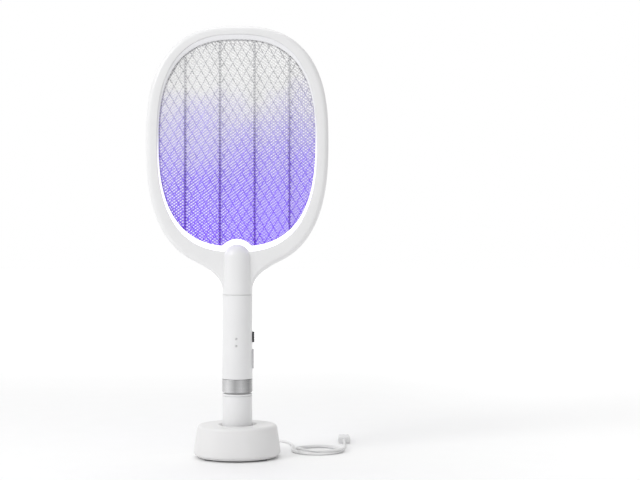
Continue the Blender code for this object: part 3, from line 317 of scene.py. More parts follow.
# The lip's painted glow: it glows though it is no lamp, for the lamp's light from its foot.
LIP_GLOW = [(0.0, (0.97, 0.95, 1.0)), (1.0, (1.0, 1.0, 1.0))]
LIP_PLASTIC = moulded("lit_plastic", (0.84, 0.84, 0.86), 0.25)
RIB_PLASTIC = moulded("carrier_plastic", (0.5, 0.5, 0.5), 0.4)
ALL_FINISHES = (
    moulded("white_plastic", WHITE, 0.32, coat=0.15, patchy=0.01),
    moulded("dock_plastic", (0.77, 0.765, 0.765), 0.42, grain=700, relief=0.04),
    # the lip's painted glow, gone above LIP_HIGH
    painted_lamp_light(LIP_PLASTIC, 1.1, top=LIP_HIGH, stops=LIP_GLOW),
    # the ribs' painted glow, with painted shade and light in their colour
    painted_lamp_light(RIB_PLASTIC, 0.08, painted_light_tints=RIB_PAINTED_SHADE_AND_LIGHT),
    metal_with_painted_lamp_light("grid_metal", (0.95, 0.95, 0.95), 0.22),
    metal_with_painted_lamp_light("live_metal", (0.56, 0.56, 0.58), 0.16),
    ring_with_painted_reflections("satin_metal", RING_PAINTED_REFLECTIONS, 0.3),
    metal("steel", (0.60, 0.61, 0.63), 0.28, (1, 0.08, 1), 240),
    metal("brass", (0.83, 0.66, 0.34), 0.25, (1, 1, 1), 300),
    moulded("dark_plastic", (0.045, 0.045, 0.05), 0.5, mottle=0.15),
    moulded("grey_plastic", (0.62, 0.62, 0.63), 0.42),
    circuit_board("circuit_board", (0.02, 0.18, 0.07)),
    moulded("component_black", (0.02, 0.02, 0.022), 0.5, mottle=0.2),
    moulded("film_yellow", (0.62, 0.38, 0.06), 0.35, coat=0.4),
    moulded("cell_wrap", (0.03, 0.16, 0.34), 0.3, coat=0.5),
    moulded("white_rubber", (0.76, 0.76, 0.76), 0.65),
    moulded("grey_rubber", (0.17, 0.17, 0.175), 0.85, mottle=0.15),
    moulded("cable_jacket", (0.80, 0.80, 0.80), 0.45, grain=1400),
)
FINISHES = {made.name: made.material for made in ALL_FINISHES}

SLOTS = {part["node"]: part["material_slot"] for part in frame["record"]["subparts"]}
for node, obj in frame["nodes"].items():
    obj.data.materials.clear()
    obj.data.materials.append(FINISHES[SLOTS[node]])


# ---------- making pieces

SLIVER = 0.004 * MM
ON_AXIS = 0.0001 * MM


def as_mesh(name, bm):
    mesh = bpy.data.meshes.new(name)
    bm.to_mesh(mesh)
    bm.free()
    return mesh


def face_outwards(bm):
    bmesh.ops.recalc_face_normals(bm, faces=bm.faces)
    if bm.calc_volume(signed=True) < 0:
        bmesh.ops.reverse_faces(bm, faces=bm.faces)


def soften(mesh, sharp):
    """Smooth shading, but for edges sharper than an angle in degrees."""
    mesh.shade_smooth()
    mesh.set_sharp_from_angle(angle=math.radians(sharp))


def add(name, bm, body, finish, sharp=40):
    """A new piece in the row frame that rides on a body."""
    face_outwards(bm)
    mesh = as_mesh(name, bm)
    soften(mesh, sharp)
    mesh.materials.append(FINISHES[finish])
    obj = in_scene(name, mesh)
    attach(obj, body)
    return obj


def stand_in(node, bm, body, finish, sharp=40):
    """A piece that is shown in place of a CAD node."""
    obj = add(f"{node}_look", bm, body, finish, sharp)
    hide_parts(node)
    return obj


def carved(obj, cutters, operation="DIFFERENCE", sharp=40):
    """Applies a Boolean with each cutter, a bmesh, and keeps the result as the piece's mesh."""
    helpers = []
    for cutter in cutters:
        face_outwards(cutter)
        helpers.append(in_scene("cutter", as_mesh("cutter", cutter)))
        modifier = obj.modifiers.new("cut", "BOOLEAN")
        modifier.operation = operation
        modifier.object = helpers[-1]
        modifier.solver = "EXACT"
    bpy.context.view_layer.update()
    evaluated = obj.evaluated_get(bpy.context.evaluated_depsgraph_get())
    mesh = bpy.data.meshes.new_from_object(evaluated)
    obj.modifiers.clear()
    bm = bmesh.new()
    bm.from_mesh(mesh)
    bmesh.ops.remove_doubles(bm, verts=bm.verts, dist=SLIVER)
    bmesh.ops.dissolve_degenerate(bm, edges=bm.edges, dist=SLIVER)
    bm.to_mesh(mesh)
    bm.free()
    old = obj.data
    obj.data = mesh
    bpy.data.meshes.remove(old)
    soften(mesh, sharp)
    for helper in helpers:
        bpy.data.objects.remove(helper)


def joined(*shapes):
    """Puts several closed bmeshes in one."""
    whole = bmesh.new()
    for shape in shapes:
        mesh = as_mesh("shape", shape)
        whole.from_mesh(mesh)
        bpy.data.meshes.remove(mesh)
    return whole


def loft(rings, closed=False):
    """Skins rings of equally many points. An open loft gets a cap at each end."""
    bm = bmesh.new()
    made = [[bm.verts.new(point) for point in ring] for ring in rings]
    pairs = list(zip(made, made[1:], strict=False))
    if closed:
        pairs.append((made[-1], made[0]))
    count = len(made[0])
    for first, second in pairs:
        for i in range(count):
            j = (i + 1) % count
            bm.faces.new((first[i], first[j], second[j], second[i]))
    if not closed:
        bm.faces.new(made[0][::-1])
        bm.faces.new(made[-1])
    return bm


NEARLY_HALF = 0.49  # of an edge, so that two rounded corners never meet


def rounded(corners, steps=4):
    """A closed outline from (across, up) corners; one with a third value is rounded by it."""
    points = []
    for i, (x, z, *radius) in enumerate(corners):
        if not radius:
            points.append((x, z))
            continue
        ends = []
        for other in (corners[i - 1], corners[(i + 1) % len(corners)]):
            length = math.dist((x, z), other[:2])
            share = min(radius[0] / length, NEARLY_HALF)
            ends.append((x + (other[0] - x) * share, z + (other[1] - z) * share))
        (x0, z0), (x1, z1) = ends
        for step in range(steps + 1):
            t = step / steps
            across = (1 - t) ** 2 * x0 + 2 * t * (1 - t) * x + t**2 * x1
            up = (1 - t) ** 2 * z0 + 2 * t * (1 - t) * z + t**2 * z1
            points.append((across, up))
    return points


def turned(profile, steps=96, centre=(0, 0), depth_share=1.0, upright=True):
    """A ring turned about Z (or Y) from a closed (radius, height) outline that may meet the axis."""
    bm = bmesh.new()
    columns = []
    poles = {}
    for step in range(steps):
        angle = 2 * math.pi * step / steps
        column = []
        for i, (radius, height) in enumerate(profile):
            if radius < ON_AXIS and i in poles:
                column.append(poles[i])
                continue
            across = centre[0] + radius * math.cos(angle)
            along = centre[1] + radius * math.sin(angle) * depth_share
            vert = bm.verts.new((across, along, height) if upright else (across, height, along))
            if radius < ON_AXIS:
                poles[i] = vert
            column.append(vert)
        columns.append(column)
    for step in range(steps):
        first, second = columns[step], columns[(step + 1) % steps]
        for i in range(len(profile)):
            j = (i + 1) % len(profile)
            corners = dict.fromkeys((first[i], first[j], second[j], second[i]))
            if len(corners) > 2:
                bm.faces.new(list(corners))
    return bm


def rod(radius, start, end, steps=32, centre=(0, 0), upright=True):
    """A plain cylinder along Z (or Y) between two heights."""
    profile = [(0, start), (radius, start), (radius, end), (0, end)]
    return turned(profile, steps, centre, upright=upright)


def pin_profile(radius, tip, root, tip_soft, *root_soft, steps=4):
    """The outline of a solid pin, for turned, with its tip's edge rounded, and its root's if asked."""
    return rounded([(0, tip), (radius, tip, tip_soft), (radius, root, *root_soft), (0, root)], steps)


def turned_part(node, corners, body, finish, fine=4, steps=128, sharp=40, **where):
    """A turned stand-in for a CAD node, from the corners of its profile."""
    return stand_in(node, turned(rounded(corners, fine), steps, **where), body, finish, sharp)


def turned_ring(node, inner, outer, softs, body, finish, fine=4):
    """A ring as tall as its CAD node, with the top and bottom edges of its outside rounded."""
    top, bottom = highest(node), lowest(node)
    corners = [(inner, top), (outer, top, softs[0]), (outer, bottom, softs[1]), (inner, bottom)]
    return turned_part(node, corners, body, finish, fine)


def around(centre, half):
    return centre - half, centre + half


def block(across, along, up, bevel=0.0, segments=3):
    """A box with rounded edges, from its (low, high) limits along X, Y and Z."""
    bm = bmesh.new()
    bmesh.ops.create_cube(bm, size=1.0)
    for vert in bm.verts:
        for axis, (low, high) in enumerate((across, along, up)):
            vert.co[axis] = low + (vert.co[axis] + 0.5) * (high - low)
    if bevel:
        bmesh.ops.bevel(bm, geom=bm.edges[:], offset=bevel, segments=segments, profile=0.5, affect="EDGES")
    return bm


def stadium(half_width, half_length, steps=12):
    points = []
    straight = max(half_length - half_width, 0.0)
    for middle_point, start in ((straight, 0.0), (-straight, math.pi)):
        for step in range(steps + 1):
            angle = start + math.pi * step / steps
            points.append((half_width * math.cos(angle), middle_point + half_width * math.sin(angle)))
    return points


def pill_rings(sections, height, steps=12):
    """Rings for a pill-shaped loft along X, from (x, half width, half length) sections."""
    return [[(x, y, z + height) for y, z in stadium(w, h, steps)] for x, w, h in sections]


# ---------- the head's outlines


def eased(value, start, end):
    share = min(1.0, max(0.0, (value - start) / (end - start)))
    return share * share * (3 - 2 * share)


def egg_point(angle, size):
    half_width, top, drop = size
    across, up = math.cos(angle), math.sin(angle)
    power = 2 / HEAD_POWER
    x = half_width * math.copysign(abs(across) ** power, across)
    z = (top if up > 0 else drop) * math.copysign(abs(up) ** power, up)
    return x, z


def past_the_dome(x, z, notch):
    reach = math.hypot(x, z + DOME_DROP)
    if reach >= notch:
        return x, z
    share = notch / reach
    return x * share, (z + DOME_DROP) * share - DOME_DROP


def spread_along(path, count, crowding=1.0):
    """count + 1 points along a path; a crowding over 1 puts them closer at its start."""
    lengths = [0.0]
    for (x0, z0), (x1, z1) in zip(path, path[1:], strict=False):
        lengths.append(lengths[-1] + math.hypot(x1 - x0, z1 - z0))
    points = []
    segment = 0
    for i in range(count + 1):
        target = lengths[-1] * (i / count) ** crowding
        while segment < len(path) - 2 and lengths[segment + 1] < target:
            segment += 1
        share = (target - lengths[segment]) / (lengths[segment + 1] - lengths[segment])
        (x0, z0), (x1, z1) = path[segment], path[segment + 1]
        points.append((x0 + (x1 - x0) * share, z0 + (z1 - z0) * share))
    return points


def mirrored(half):
    return half + [(-x, z) for x, z in half[-2:0:-1]]


BOTTOM_POINTS = 4
FLARE_POINTS = 26
SIDE_POINTS = 84
HALF_POINTS = BOTTOM_POINTS + 1 + FLARE_POINTS + SIDE_POINTS
FINE = 1600
FOOT_CROWDING = 1.3  # the opening's points are closer round the dome


def fine_half_egg(size, notch=0.0):
    path = []
    for i in range(FINE + 1):
        angle = -math.pi / 2 + math.pi * i / FINE
        path.append(past_the_dome(*egg_point(angle, size), notch))
    return path


def opening_outline(size, notch):
    return mirrored(spread_along(fine_half_egg(size, notch), HALF_POINTS, FOOT_CROWDING))


def flare_start():
    share = (1 - (FLARE_START_X / OUTER[0]) ** HEAD_POWER) ** (1 / HEAD_POWER)
    return FLARE_START_X, -OUTER[2] * share


def flare_point(share):
    rest = 1 - share
    weights = (rest**3, 3 * rest**2 * share, 3 * rest * share**2, share**3)
    corners = (FLARE_END, FLARE_SECOND, FLARE_FIRST, flare_start())
    return tuple(sum(w * c[k] for w, c in zip(weights, corners, strict=True)) for k in (0, 1))


def half_outer():
    neck_end = JOINT_LINE + GAP - HEAD_CENTRE
    bottom = [(HANDLE_RADIUS * i / (BOTTOM_POINTS + 1), neck_end) for i in range(BOTTOM_POINTS + 1)]
    corner = [(HANDLE_RADIUS, neck_end)]
    flare = [flare_point(i / FLARE_POINTS) for i in range(FLARE_POINTS)]
    egg = fine_half_egg(OUTER)
    above = [point for point in egg if point[0] < FLARE_START_X and point[1] > 0]
    side = [point for point in egg if point[0] >= FLARE_START_X]
    arc = spread_along([flare_start(), *side, *above], SIDE_POINTS - 1)
    return bottom + corner + flare + arc


HALF_OUTER = half_outer()


def outer_outline(ring_inset, neck_inset, lift=0.0):
    """The head's and neck's outer outline, moved in, and up by lift at the joint line."""
    moved = []
    for i, (x, z) in enumerate(HALF_OUTER):
        if i <= BOTTOM_POINTS + 1:
            moved.append((x * (1 - neck_inset / HANDLE_RADIUS), z + lift))
            continue
        share = eased(i, BOTTOM_POINTS + 1, BOTTOM_POINTS + 1 + FLARE_POINTS)
        inset = neck_inset + (ring_inset - neck_inset) * share
        x0, z0 = HALF_OUTER[i - 1]
        x1, z1 = HALF_OUTER[i + 1] if i + 1 < len(HALF_OUTER) else (-x0, z0)
        run = math.hypot(x1 - x0, z1 - z0)
        moved.append((x - (z1 - z0) / run * inset, z + (x1 - x0) / run * inset))
    return mirrored(moved)


def quarter(steps):
    return [math.pi / 2 * step / steps for step in range(steps + 1)]


def grown(size, extra):
    return tuple(value + extra for value in size)


def station(outline, depth):
    return [(x, depth, z + HEAD_CENTRE) for x, z in outline]


# ---------- the head

SEAM = 0.25 * MM
CROWN_STEPS = 9
LIP_ROUND = 0.8 * MM
LIP_STEPS = 4


def head_frame(node, side):
    """Half of the frame, with a crowned face and softened edges on both sides of it."""
    core = HALF_DEPTH - EDGE_ROUND
    stations = [(outer_outline(SEAM, SEAM), GAP / 2), (outer_outline(0, 0), GAP / 2 + SEAM)]
    for angle in quarter(CROWN_STEPS):
        depth = core + EDGE_ROUND * math.sin(angle)
        neck_inset = HANDLE_RADIUS - math.sqrt(HANDLE_RADIUS**2 - depth**2)
        stations.append((outer_outline(EDGE_ROUND * (1 - math.cos(angle)), neck_inset), depth))
    for angle in quarter(LIP_STEPS):
        out = LIP_ROUND * (1 - math.sin(angle))
        depth = HALF_DEPTH - LIP_ROUND * (1 - math.cos(angle))
        stations.append((opening_outline(grown(FACE_EDGE, out), FACE_NOTCH - out), depth))
    hidden = opening_outline(grown(FACE_EDGE, WALL), FACE_NOTCH - WALL)
    inside = outer_outline(WALL, WALL, WALL)
    stations += [
        (opening_outline(FACE_EDGE, FACE_NOTCH), CLAMP_DEPTH),
        (hidden, CLAMP_DEPTH),
        (hidden, HALF_DEPTH - WALL),
        (outer_outline(EDGE_ROUND, 2 * WALL, WALL), HALF_DEPTH - WALL),
        (inside, core),
        (inside, GAP / 2),
    ]
    rings = [station(outline, side * depth) for outline, depth in stations]
    return stand_in(node, loft(rings, closed=True), "racket", "white_plastic", 50)


SCREW_PLACES = ((92.8 * MM, 53 * MM), (90.0 * MM, -71 * MM))
SCREW_RADIUS = 2.3 * MM
SCREW_TOP = HALF_DEPTH - 0.25 * MM
SCREW_UNDERSIDE = HALF_DEPTH - 1.7 * MM
SCREW_CROWN = 0.9 * MM
SHANK_RADIUS = 1.1 * MM
SHANK_END = -5.5 * MM
SEAT_RADIUS = 2.7 * MM
SEAT_FLOOR = 6.2 * MM
SEAT_MOUTH = HALF_DEPTH + 1 * MM
CROSS_LONG = 1.5 * MM
CROSS_THIN = 0.33 * MM
CROSS_FLOOR = HALF_DEPTH - 1.1 * MM


def frame_screw(node, x, z):
    """A pan-head screw with a cross recess, seated below the rear face."""
    profile = pin_profile(SCREW_RADIUS, SCREW_TOP, SCREW_UNDERSIDE, SCREW_CROWN)
    screw = stand_in(node, turned(profile, 32, (x, z), upright=False), "racket", "steel")
    slots = [
        block(around(x, CROSS_LONG), (CROSS_FLOOR, SEAT_MOUTH), around(z, CROSS_THIN)),
        block(around(x, CROSS_THIN), (CROSS_FLOOR - 0.05 * MM, SEAT_MOUTH), around(z, CROSS_LONG)),
    ]
    carved(screw, slots)
    shank = rod(SHANK_RADIUS, SCREW_UNDERSIDE, SHANK_END, 16, (x, z), upright=False)
    add(f"{node}_shank", shank, "racket", "steel")


head_frame("head_frame_front", -1)
rear = head_frame("head_frame_rear", 1)
places = [(side * x, z + HEAD_CENTRE) for x, z in SCREW_PLACES for side in (-1, 1)]
seats = [rod(SEAT_RADIUS, SEAT_MOUTH, SEAT_FLOOR, 32, place, upright=False) for place in places]
carved(rear, seats, sharp=50)
for number, place in enumerate(places, 1):
    frame_screw(f"frame_screw_{number}", *place)

BEZEL_PLAY = 0.08 * MM
BEZEL_TOP = 7.6 * MM
BEZEL_LOW = 6.2 * MM
BEZEL_STEPS = 6


def grid_bezel(node, side):
    """The translucent lip; the lamp's light on it from the foot is a painted glow in its finish."""
    outer = opening_outline(grown(FACE_EDGE, -BEZEL_PLAY), FACE_NOTCH + BEZEL_PLAY)
    foot = side * (CLAMP_DEPTH - 0.2 * MM)
    rings = [station(outer, foot), station(outer, side * (BEZEL_TOP - 0.3 * MM))]
    deeper = OPENING_NOTCH - FACE_NOTCH - BEZEL_PLAY
    wide = [a - b - BEZEL_PLAY for a, b in zip(FACE_EDGE, OPENING, strict=True)]
    for step in range(BEZEL_STEPS + 1):
        share = step / BEZEL_STEPS
        size = tuple(edge - BEZEL_PLAY - w * share for edge, w in zip(FACE_EDGE, wide, strict=True))
        notch = FACE_NOTCH + BEZEL_PLAY + deeper * share
        depth = BEZEL_TOP - (BEZEL_TOP - BEZEL_LOW) * share**2
        rings.append(station(opening_outline(size, notch), side * depth))
    rings.append(station(opening_outline(OPENING, OPENING_NOTCH), foot))
    stand_in(node, loft(rings, closed=True), "racket", "lit_plastic", 50)


grid_bezel("grid_bezel_front", -1)
grid_bezel("grid_bezel_rear", 1)


# ---------- the wire grids

NET_LAP = 2.5 * MM  # how far the wires run on under the lip
NET_EDGE = grown(OPENING, NET_LAP)
NET_REACH = 160 * MM
HALVINGS = 7


def in_net(x, z):
    height = NET_EDGE[1] if z > 0 else NET_EDGE[2]
    if (abs(x) / NET_EDGE[0]) ** HEAD_POWER + (abs(z) / height) ** HEAD_POWER > 1:
        return False
    return math.hypot(x, z + DOME_DROP) > OPENING_NOTCH - NET_LAP


def runs_inside(start, direction, step=1.5 * MM):
    """The stretches of a line that lie in the net, as pairs of distances along it."""

    def inside(t):
        return in_net(start[0] + direction[0] * t, start[1] + direction[1] * t)

    def edge(outside_t, inside_t):
        for _ in range(HALVINGS):
            half = (outside_t + inside_t) / 2
            if inside(half):
                inside_t = half
            else:
                outside_t = half
        return inside_t

    runs = []
    begin = None
    count = int(2 * NET_REACH / step)
    for i in range(count + 1):
        t = -NET_REACH + i * step
        if inside(t) and begin is None:
            begin = edge(t - step, t)
        elif begin is not None and not inside(t):
            runs.append((begin, edge(t, t - step)))
            begin = None
    return runs


def wire_net(families, sides=6, shift=0.5):
    """Wires in straight families of (slope in degrees, pitch, radius, depth)."""
    turns = [2 * math.pi * side / sides for side in range(sides)]
    wires = []
    for slope, pitch, radius, depth in families:
        angle = math.radians(slope)
        along = (math.cos(angle), math.sin(angle))
        across = (-along[1], along[0])
        count = int(NET_REACH / pitch)
        for number in range(-count, count + 1):
            start = [part * pitch * (number + shift) for part in across]
            for ends in runs_inside(start, along):
                rings = []
                for t in ends:
                    x, z = (a + b * t for a, b in zip(start, along, strict=True))
                    ring = []
                    for turn in turns:
                        off = radius * math.cos(turn)
                        place = (x + across[0] * off, z + across[1] * off)
                        ring += station([place], depth + radius * math.sin(turn))
                    rings.append(ring)
                wires.append(loft(rings))
    return joined(*wires)


RIM_SHOWING = 0.6 * MM
RIM_WIDE = 4 * MM


def net_rim(low, high):
    """The flat edge strip that the wires are welded to, under the lip."""
    inner = opening_outline(grown(OPENING, RIM_SHOWING), OPENING_NOTCH - RIM_SHOWING)
    outer = opening_outline(grown(OPENING, RIM_WIDE), OPENING_NOTCH - RIM_WIDE)
    sections = ((inner, low), (outer, low), (outer, high), (inner, high))
    return loft([station(outline, depth) for outline, depth in sections], closed=True)


FINE_SLOPE = 35.6
FINE_PITCH = 2.8 * MM
FINE_RADIUS = 0.32 * MM
FINE_DEPTHS = (4.42 * MM, 4.98 * MM)
LIVE_SLOPE = 60.0
LIVE_PITCH = 8.8 * MM
LIVE_RADIUS = 0.42 * MM
LIVE_OFFSET = 0.14 * MM
LIVE_RIM = 0.3 * MM


def fine_net(node, side, shift):
    inner, outer = FINE_DEPTHS
    families = [
        (FINE_SLOPE, FINE_PITCH, FINE_RADIUS, side * (outer - FINE_RADIUS)),
        (-FINE_SLOPE, FINE_PITCH, FINE_RADIUS, side * (inner + FINE_RADIUS)),
    ]
    rim = net_rim(*sorted((side * inner, side * outer)))
    stand_in(node, joined(wire_net(families, shift=shift), rim), "racket", "grid_metal")


fine_net("front_grid", -1, 0.5)
fine_net("rear_grid", 1, 0.0)
live_families = [
    (LIVE_SLOPE, LIVE_PITCH, LIVE_RADIUS, -LIVE_OFFSET),
    (-LIVE_SLOPE, LIVE_PITCH, LIVE_RADIUS, LIVE_OFFSET),
]
live_shape = joined(wire_net(live_families, sides=8), net_rim(-LIVE_RIM, LIVE_RIM))
stand_in("hv_grid", live_shape, "racket", "live_metal")

RIB_PLACES = (-58.7 * MM, -19.5 * MM, 19.5 * MM, 58.7 * MM)
BEAD_PITCH = 6.6 * MM
BEAD_DEPTHS = (0.7 * MM, 3.9 * MM)
BEAD_HALF_WIDE = 1.5 * MM
BEAD_HALF_TALL = 0.8 * MM
BEAD_MARGIN = 6 * MM
BEADS_UP = 18


def rib_beads(name, side):
    """Bosses along the carrier's ribs that hold the live wires apart."""
    depths = sorted(side * depth for depth in BEAD_DEPTHS)
    shapes = []
    for x in RIB_PLACES:
        for number in range(-BEADS_UP, BEADS_UP):
            z = number * BEAD_PITCH
            if in_net(x, z - BEAD_MARGIN) and in_net(x, z + BEAD_MARGIN):
                up = around(z + HEAD_CENTRE, BEAD_HALF_TALL)
                shapes.append(block(around(x, BEAD_HALF_WIDE), depths, up))
    add(name, joined(*shapes), "racket", "carrier_plastic")


rib_beads("rib_beads_front", -1)
rib_beads("rib_beads_rear", 1)


# ---------- the neck covers

DOME_CENTRE = HEAD_CENTRE - DOME_DROP
DOME_STEPS = 16
COVER_STAND = 0.12 * MM
FAR = 40 * MM


def dome(radius, foot, soft):
    """A round post with a domed top and a softened foot."""
    profile = [(radius * math.sin(a), DOME_CENTRE + radius * math.cos(a)) for a in quarter(DOME_STEPS)]
    return turned([*profile, (radius, foot + soft), (radius - soft, foot), (0, foot)], 96)


def neck_cover(node, side):
    """The part of a hollow domed post that stands proud of the frame's face."""
    bottom = JOINT_LINE + GAP
    cover = stand_in(node, dome(HANDLE_RADIUS, bottom, SEAM), "racket", "white_plastic", 35)
    hollow = dome(HANDLE_RADIUS - WALL, bottom + WALL, 0.1 * MM)
    depths = sorted((side * (HALF_DEPTH + COVER_STAND), -side * FAR))
    behind = block((-FAR, FAR), depths, (bottom - FAR, DOME_CENTRE + FAR))
    carved(cover, [hollow, behind], sharp=35)


neck_cover("neck_cover_front", -1)
neck_cover("neck_cover_rear", 1)


# ---------- the upper handle

MODE_CENTRE = middle("switch_knob", "Z")
ZAP_CENTRE = middle("zap_button", "Z")
LENS_PLACES = (middle("indicator_lens_1", "Z"), middle("indicator_lens_2", "Z"))
TUBE_BORE = HANDLE_RADIUS - WALL
RING_BORE = 14.6 * MM
WALL_DEPTHS = (12 * MM, 22 * MM)  # from inside the tube's wall to outside it
LENS_HOLE_DEPTHS = (-12 * MM, -20 * MM)
MODE_WINDOW = (2.8 * MM, 8.3 * MM)  # half width and half length
ZAP_WINDOW = (4.3 * MM, 11.3 * MM)
LENS_RADIUS = 1 * MM
LENS_HOLE = 1.25 * MM
LENS_ROOT = -11.5 * MM
LENS_TIP = -17.15 * MM

tube_softs = (0.5 * MM, 0.3 * MM)
tube = turned_ring("handle_tube", TUBE_BORE, HANDLE_RADIUS, tube_softs, "racket", "white_plastic")
windows = []
for window, centre in ((MODE_WINDOW, MODE_CENTRE), (ZAP_WINDOW, ZAP_CENTRE)):
    windows.append(loft(pill_rings([(x, *window) for x in WALL_DEPTHS], centre)))
for z in LENS_PLACES:
    windows.append(rod(LENS_HOLE, *LENS_HOLE_DEPTHS, 24, (0, z), upright=False))
carved(tube, windows)

ring_softs = (0.4 * MM, 1.8 * MM)
turned_ring("trim_ring", RING_BORE, HANDLE_RADIUS, ring_softs, "racket", "satin_metal", fine=6)

for number, z in enumerate(LENS_PLACES, 1):
    lens = turned(pin_profile(LENS_RADIUS, LENS_TIP, LENS_ROOT, 0.5 * MM), 24, (0, z), upright=False)
    stand_in(f"indicator_lens_{number}", lens, "racket", "grey_plastic")

SKIRT_DEPTHS = (12.6 * MM, 13.7 * MM)  # behind the tube's wall
CROWN_EDGE = ((0.0, 0.7), (0.1, 0.315), (0.35, 0.084), (0.7, 0.0), (1.4, 0.0))  # in and down, mm
PILL_STEPS = 16


def crowned_pill(node, body, finish, rise, stem, skirt, face):
    """A stem, a wider skirt, and a face with soft edges that follows the handle round.

    Skirt and face are a half width and half length. The stem has its inner end's place first.
    """
    centre = middle(node, "Z")
    low, high = SKIRT_DEPTHS
    sections = [stem, (low, *stem[1:]), (low, *skirt), (high, *skirt), (high, *face)]
    rings = pill_rings(sections, centre, PILL_STEPS)
    half_width, half_length = face
    radius = HANDLE_RADIUS + rise
    insets = [(inset * MM, drop * MM) for inset, drop in CROWN_EDGE]
    insets += [(half_width * 0.6, 0.0), (half_width - 0.05 * MM, 0.0)]
    for inset, drop in insets:
        points = stadium(half_width - inset, half_length - inset, PILL_STEPS)
        rings.append([(math.sqrt(radius**2 - y**2) - drop, y, z + centre) for y, z in points])
    return stand_in(node, loft(rings), body, finish, 55)


ZAP_RISE = 1.5 * MM
ZAP_STEM = (11.4 * MM, 1.5 * MM, 2 * MM)
ZAP_SKIRT = (4.9 * MM, 11.6 * MM)
ZAP_FACE = (4 * MM, 11 * MM)
KNOB_RISE = 2.2 * MM
KNOB_STEM = (11.2 * MM, 1 * MM, 2 * MM)
KNOB_SKIRT = (3.6 * MM, 10.2 * MM)
KNOB_FACE = (2.5 * MM, 6 * MM)
GROOVE_DEPTHS = (18.6 * MM, 21 * MM)
GROOVE_PITCH = 1.8 * MM
GROOVE_HALF = 0.35 * MM
GROOVE_REACH = 4 * MM

crowned_pill("zap_button", "zap_button", "grey_plastic", ZAP_RISE, ZAP_STEM, ZAP_SKIRT, ZAP_FACE)
knob = crowned_pill(
    "switch_knob", "mode_switch", "dark_plastic", KNOB_RISE, KNOB_STEM, KNOB_SKIRT, KNOB_FACE
)
grooves = []
for number in range(-2, 3):
    up = around(MODE_CENTRE + number * GROOVE_PITCH, GROOVE_HALF)
    grooves.append(block(GROOVE_DEPTHS, around(0, GROOVE_REACH), up))
carved(knob, grooves, sharp=55)


# ---------- the battery handle

LOWER_RADIUS = highest("lower_tube", "X")
LOWER_TOP = highest("lower_tube")
LOWER_BORE = LOWER_RADIUS - 1.6 * MM
EDGE = 0.25 * MM
HANDLE_BOTTOM = lowest("bottom_cap")
NECK_TOP = highest("neck_cap")
NECK_RADIUS = 10.5 * MM
NECK_BORE = 8.5 * MM
CONTACT_HOLE = 2.6 * MM
SHOULDER = LOWER_TOP + 2.6 * MM
FLANGE = LOWER_TOP + 0.3 * MM
SPIGOT = (14.8 * MM, 13 * MM)  # outer and inner radius of the ring that sits in the tube
SPIGOT_LENGTH = 5 * MM

turned_ring("lower_tube", LOWER_BORE, LOWER_RADIUS, (EDGE, EDGE), "battery_handle", "white_plastic")

neck_corners = [
    (CONTACT_HOLE, NECK_TOP, 0.3 * MM),
    (NECK_RADIUS, NECK_TOP, 1 * MM),
    (NECK_RADIUS, SHOULDER, 0.5 * MM),
    (LOWER_RADIUS, SHOULDER, 1.2 * MM),
    (LOWER_RADIUS, FLANGE, 0.2 * MM),
    (SPIGOT[0], FLANGE),
    (SPIGOT[0], FLANGE - SPIGOT_LENGTH),
    (SPIGOT[1], FLANGE - SPIGOT_LENGTH),
    (SPIGOT[1], FLANGE),
    (NECK_BORE, FLANGE),
    (NECK_BORE, NECK_TOP - WALL),
    (CONTACT_HOLE, NECK_TOP - WALL),
]
cap = turned_part("neck_cap", neck_corners, "battery_handle", "white_plastic", fine=5)

BAYONET_LEAD = 12.4 * MM
LUG_LEVEL = SHOULDER + 6 * MM
LUG_HALF_ANGLE = math.radians(7)
LUG_STEPS = 8
LUG_ROOT = NECK_RADIUS - 0.8 * MM
LUG_SOFT = 0.3 * MM
LUG_SIZES = ((12.3 * MM, 1.2 * MM), (12.0 * MM, 0.9 * MM))  # radius and half height, then at its ends


def lug(middle_angle):
    """A helical lug on the neck."""
    rings = []
    for step in range(LUG_STEPS + 1):
        turn = LUG_HALF_ANGLE * (2 * step / LUG_STEPS - 1)
        level = LUG_LEVEL + turn / (2 * math.pi) * BAYONET_LEAD
        outer, half = LUG_SIZES[step in (0, LUG_STEPS)]
        low, high = around(level, half)
        corners = [(LUG_ROOT, low), (outer, low, LUG_SOFT), (outer, high, LUG_SOFT), (LUG_ROOT, high)]
        angle = middle_angle + turn
        rings.append([(r * math.cos(angle), r * math.sin(angle), z) for r, z in rounded(corners)])
    return loft(rings)


carved(cap, [lug(math.pi / 2), lug(-math.pi / 2)], "UNION")

CAP_RECESS = HANDLE_BOTTOM + 1.9 * MM
CAP_LEDGE = HANDLE_BOTTOM + 2.7 * MM
CAP_FLOOR = HANDLE_BOTTOM + 3.1 * MM
CAP_TOP = highest("bottom_cap")
CAP_SPIGOT = (14.85 * MM, 13.2 * MM)
RING_RECESS = (9.8 * MM, 6.2 * MM)  # round the outer charging contact
CENTRE_RECESS = 3.3 * MM
cap_corners = [
    (0, CAP_FLOOR),
    (CAP_SPIGOT[1], CAP_FLOOR),
    (CAP_SPIGOT[1], CAP_TOP),
    (CAP_SPIGOT[0], CAP_TOP),
    (CAP_SPIGOT[0], CAP_LEDGE),
    (LOWER_RADIUS, CAP_LEDGE, 0.2 * MM),
    (LOWER_RADIUS, HANDLE_BOTTOM, 2 * MM),
    (RING_RECESS[0], HANDLE_BOTTOM, EDGE),
    (RING_RECESS[0], CAP_RECESS),
    (RING_RECESS[1], CAP_RECESS),
    (RING_RECESS[1], HANDLE_BOTTOM, EDGE),
    (CENTRE_RECESS, HANDLE_BOTTOM, EDGE),
    (CENTRE_RECESS, CAP_RECESS),
    (0, CAP_RECESS),
]
turned_part("bottom_cap", cap_corners, "battery_handle", "white_plastic", fine=5)

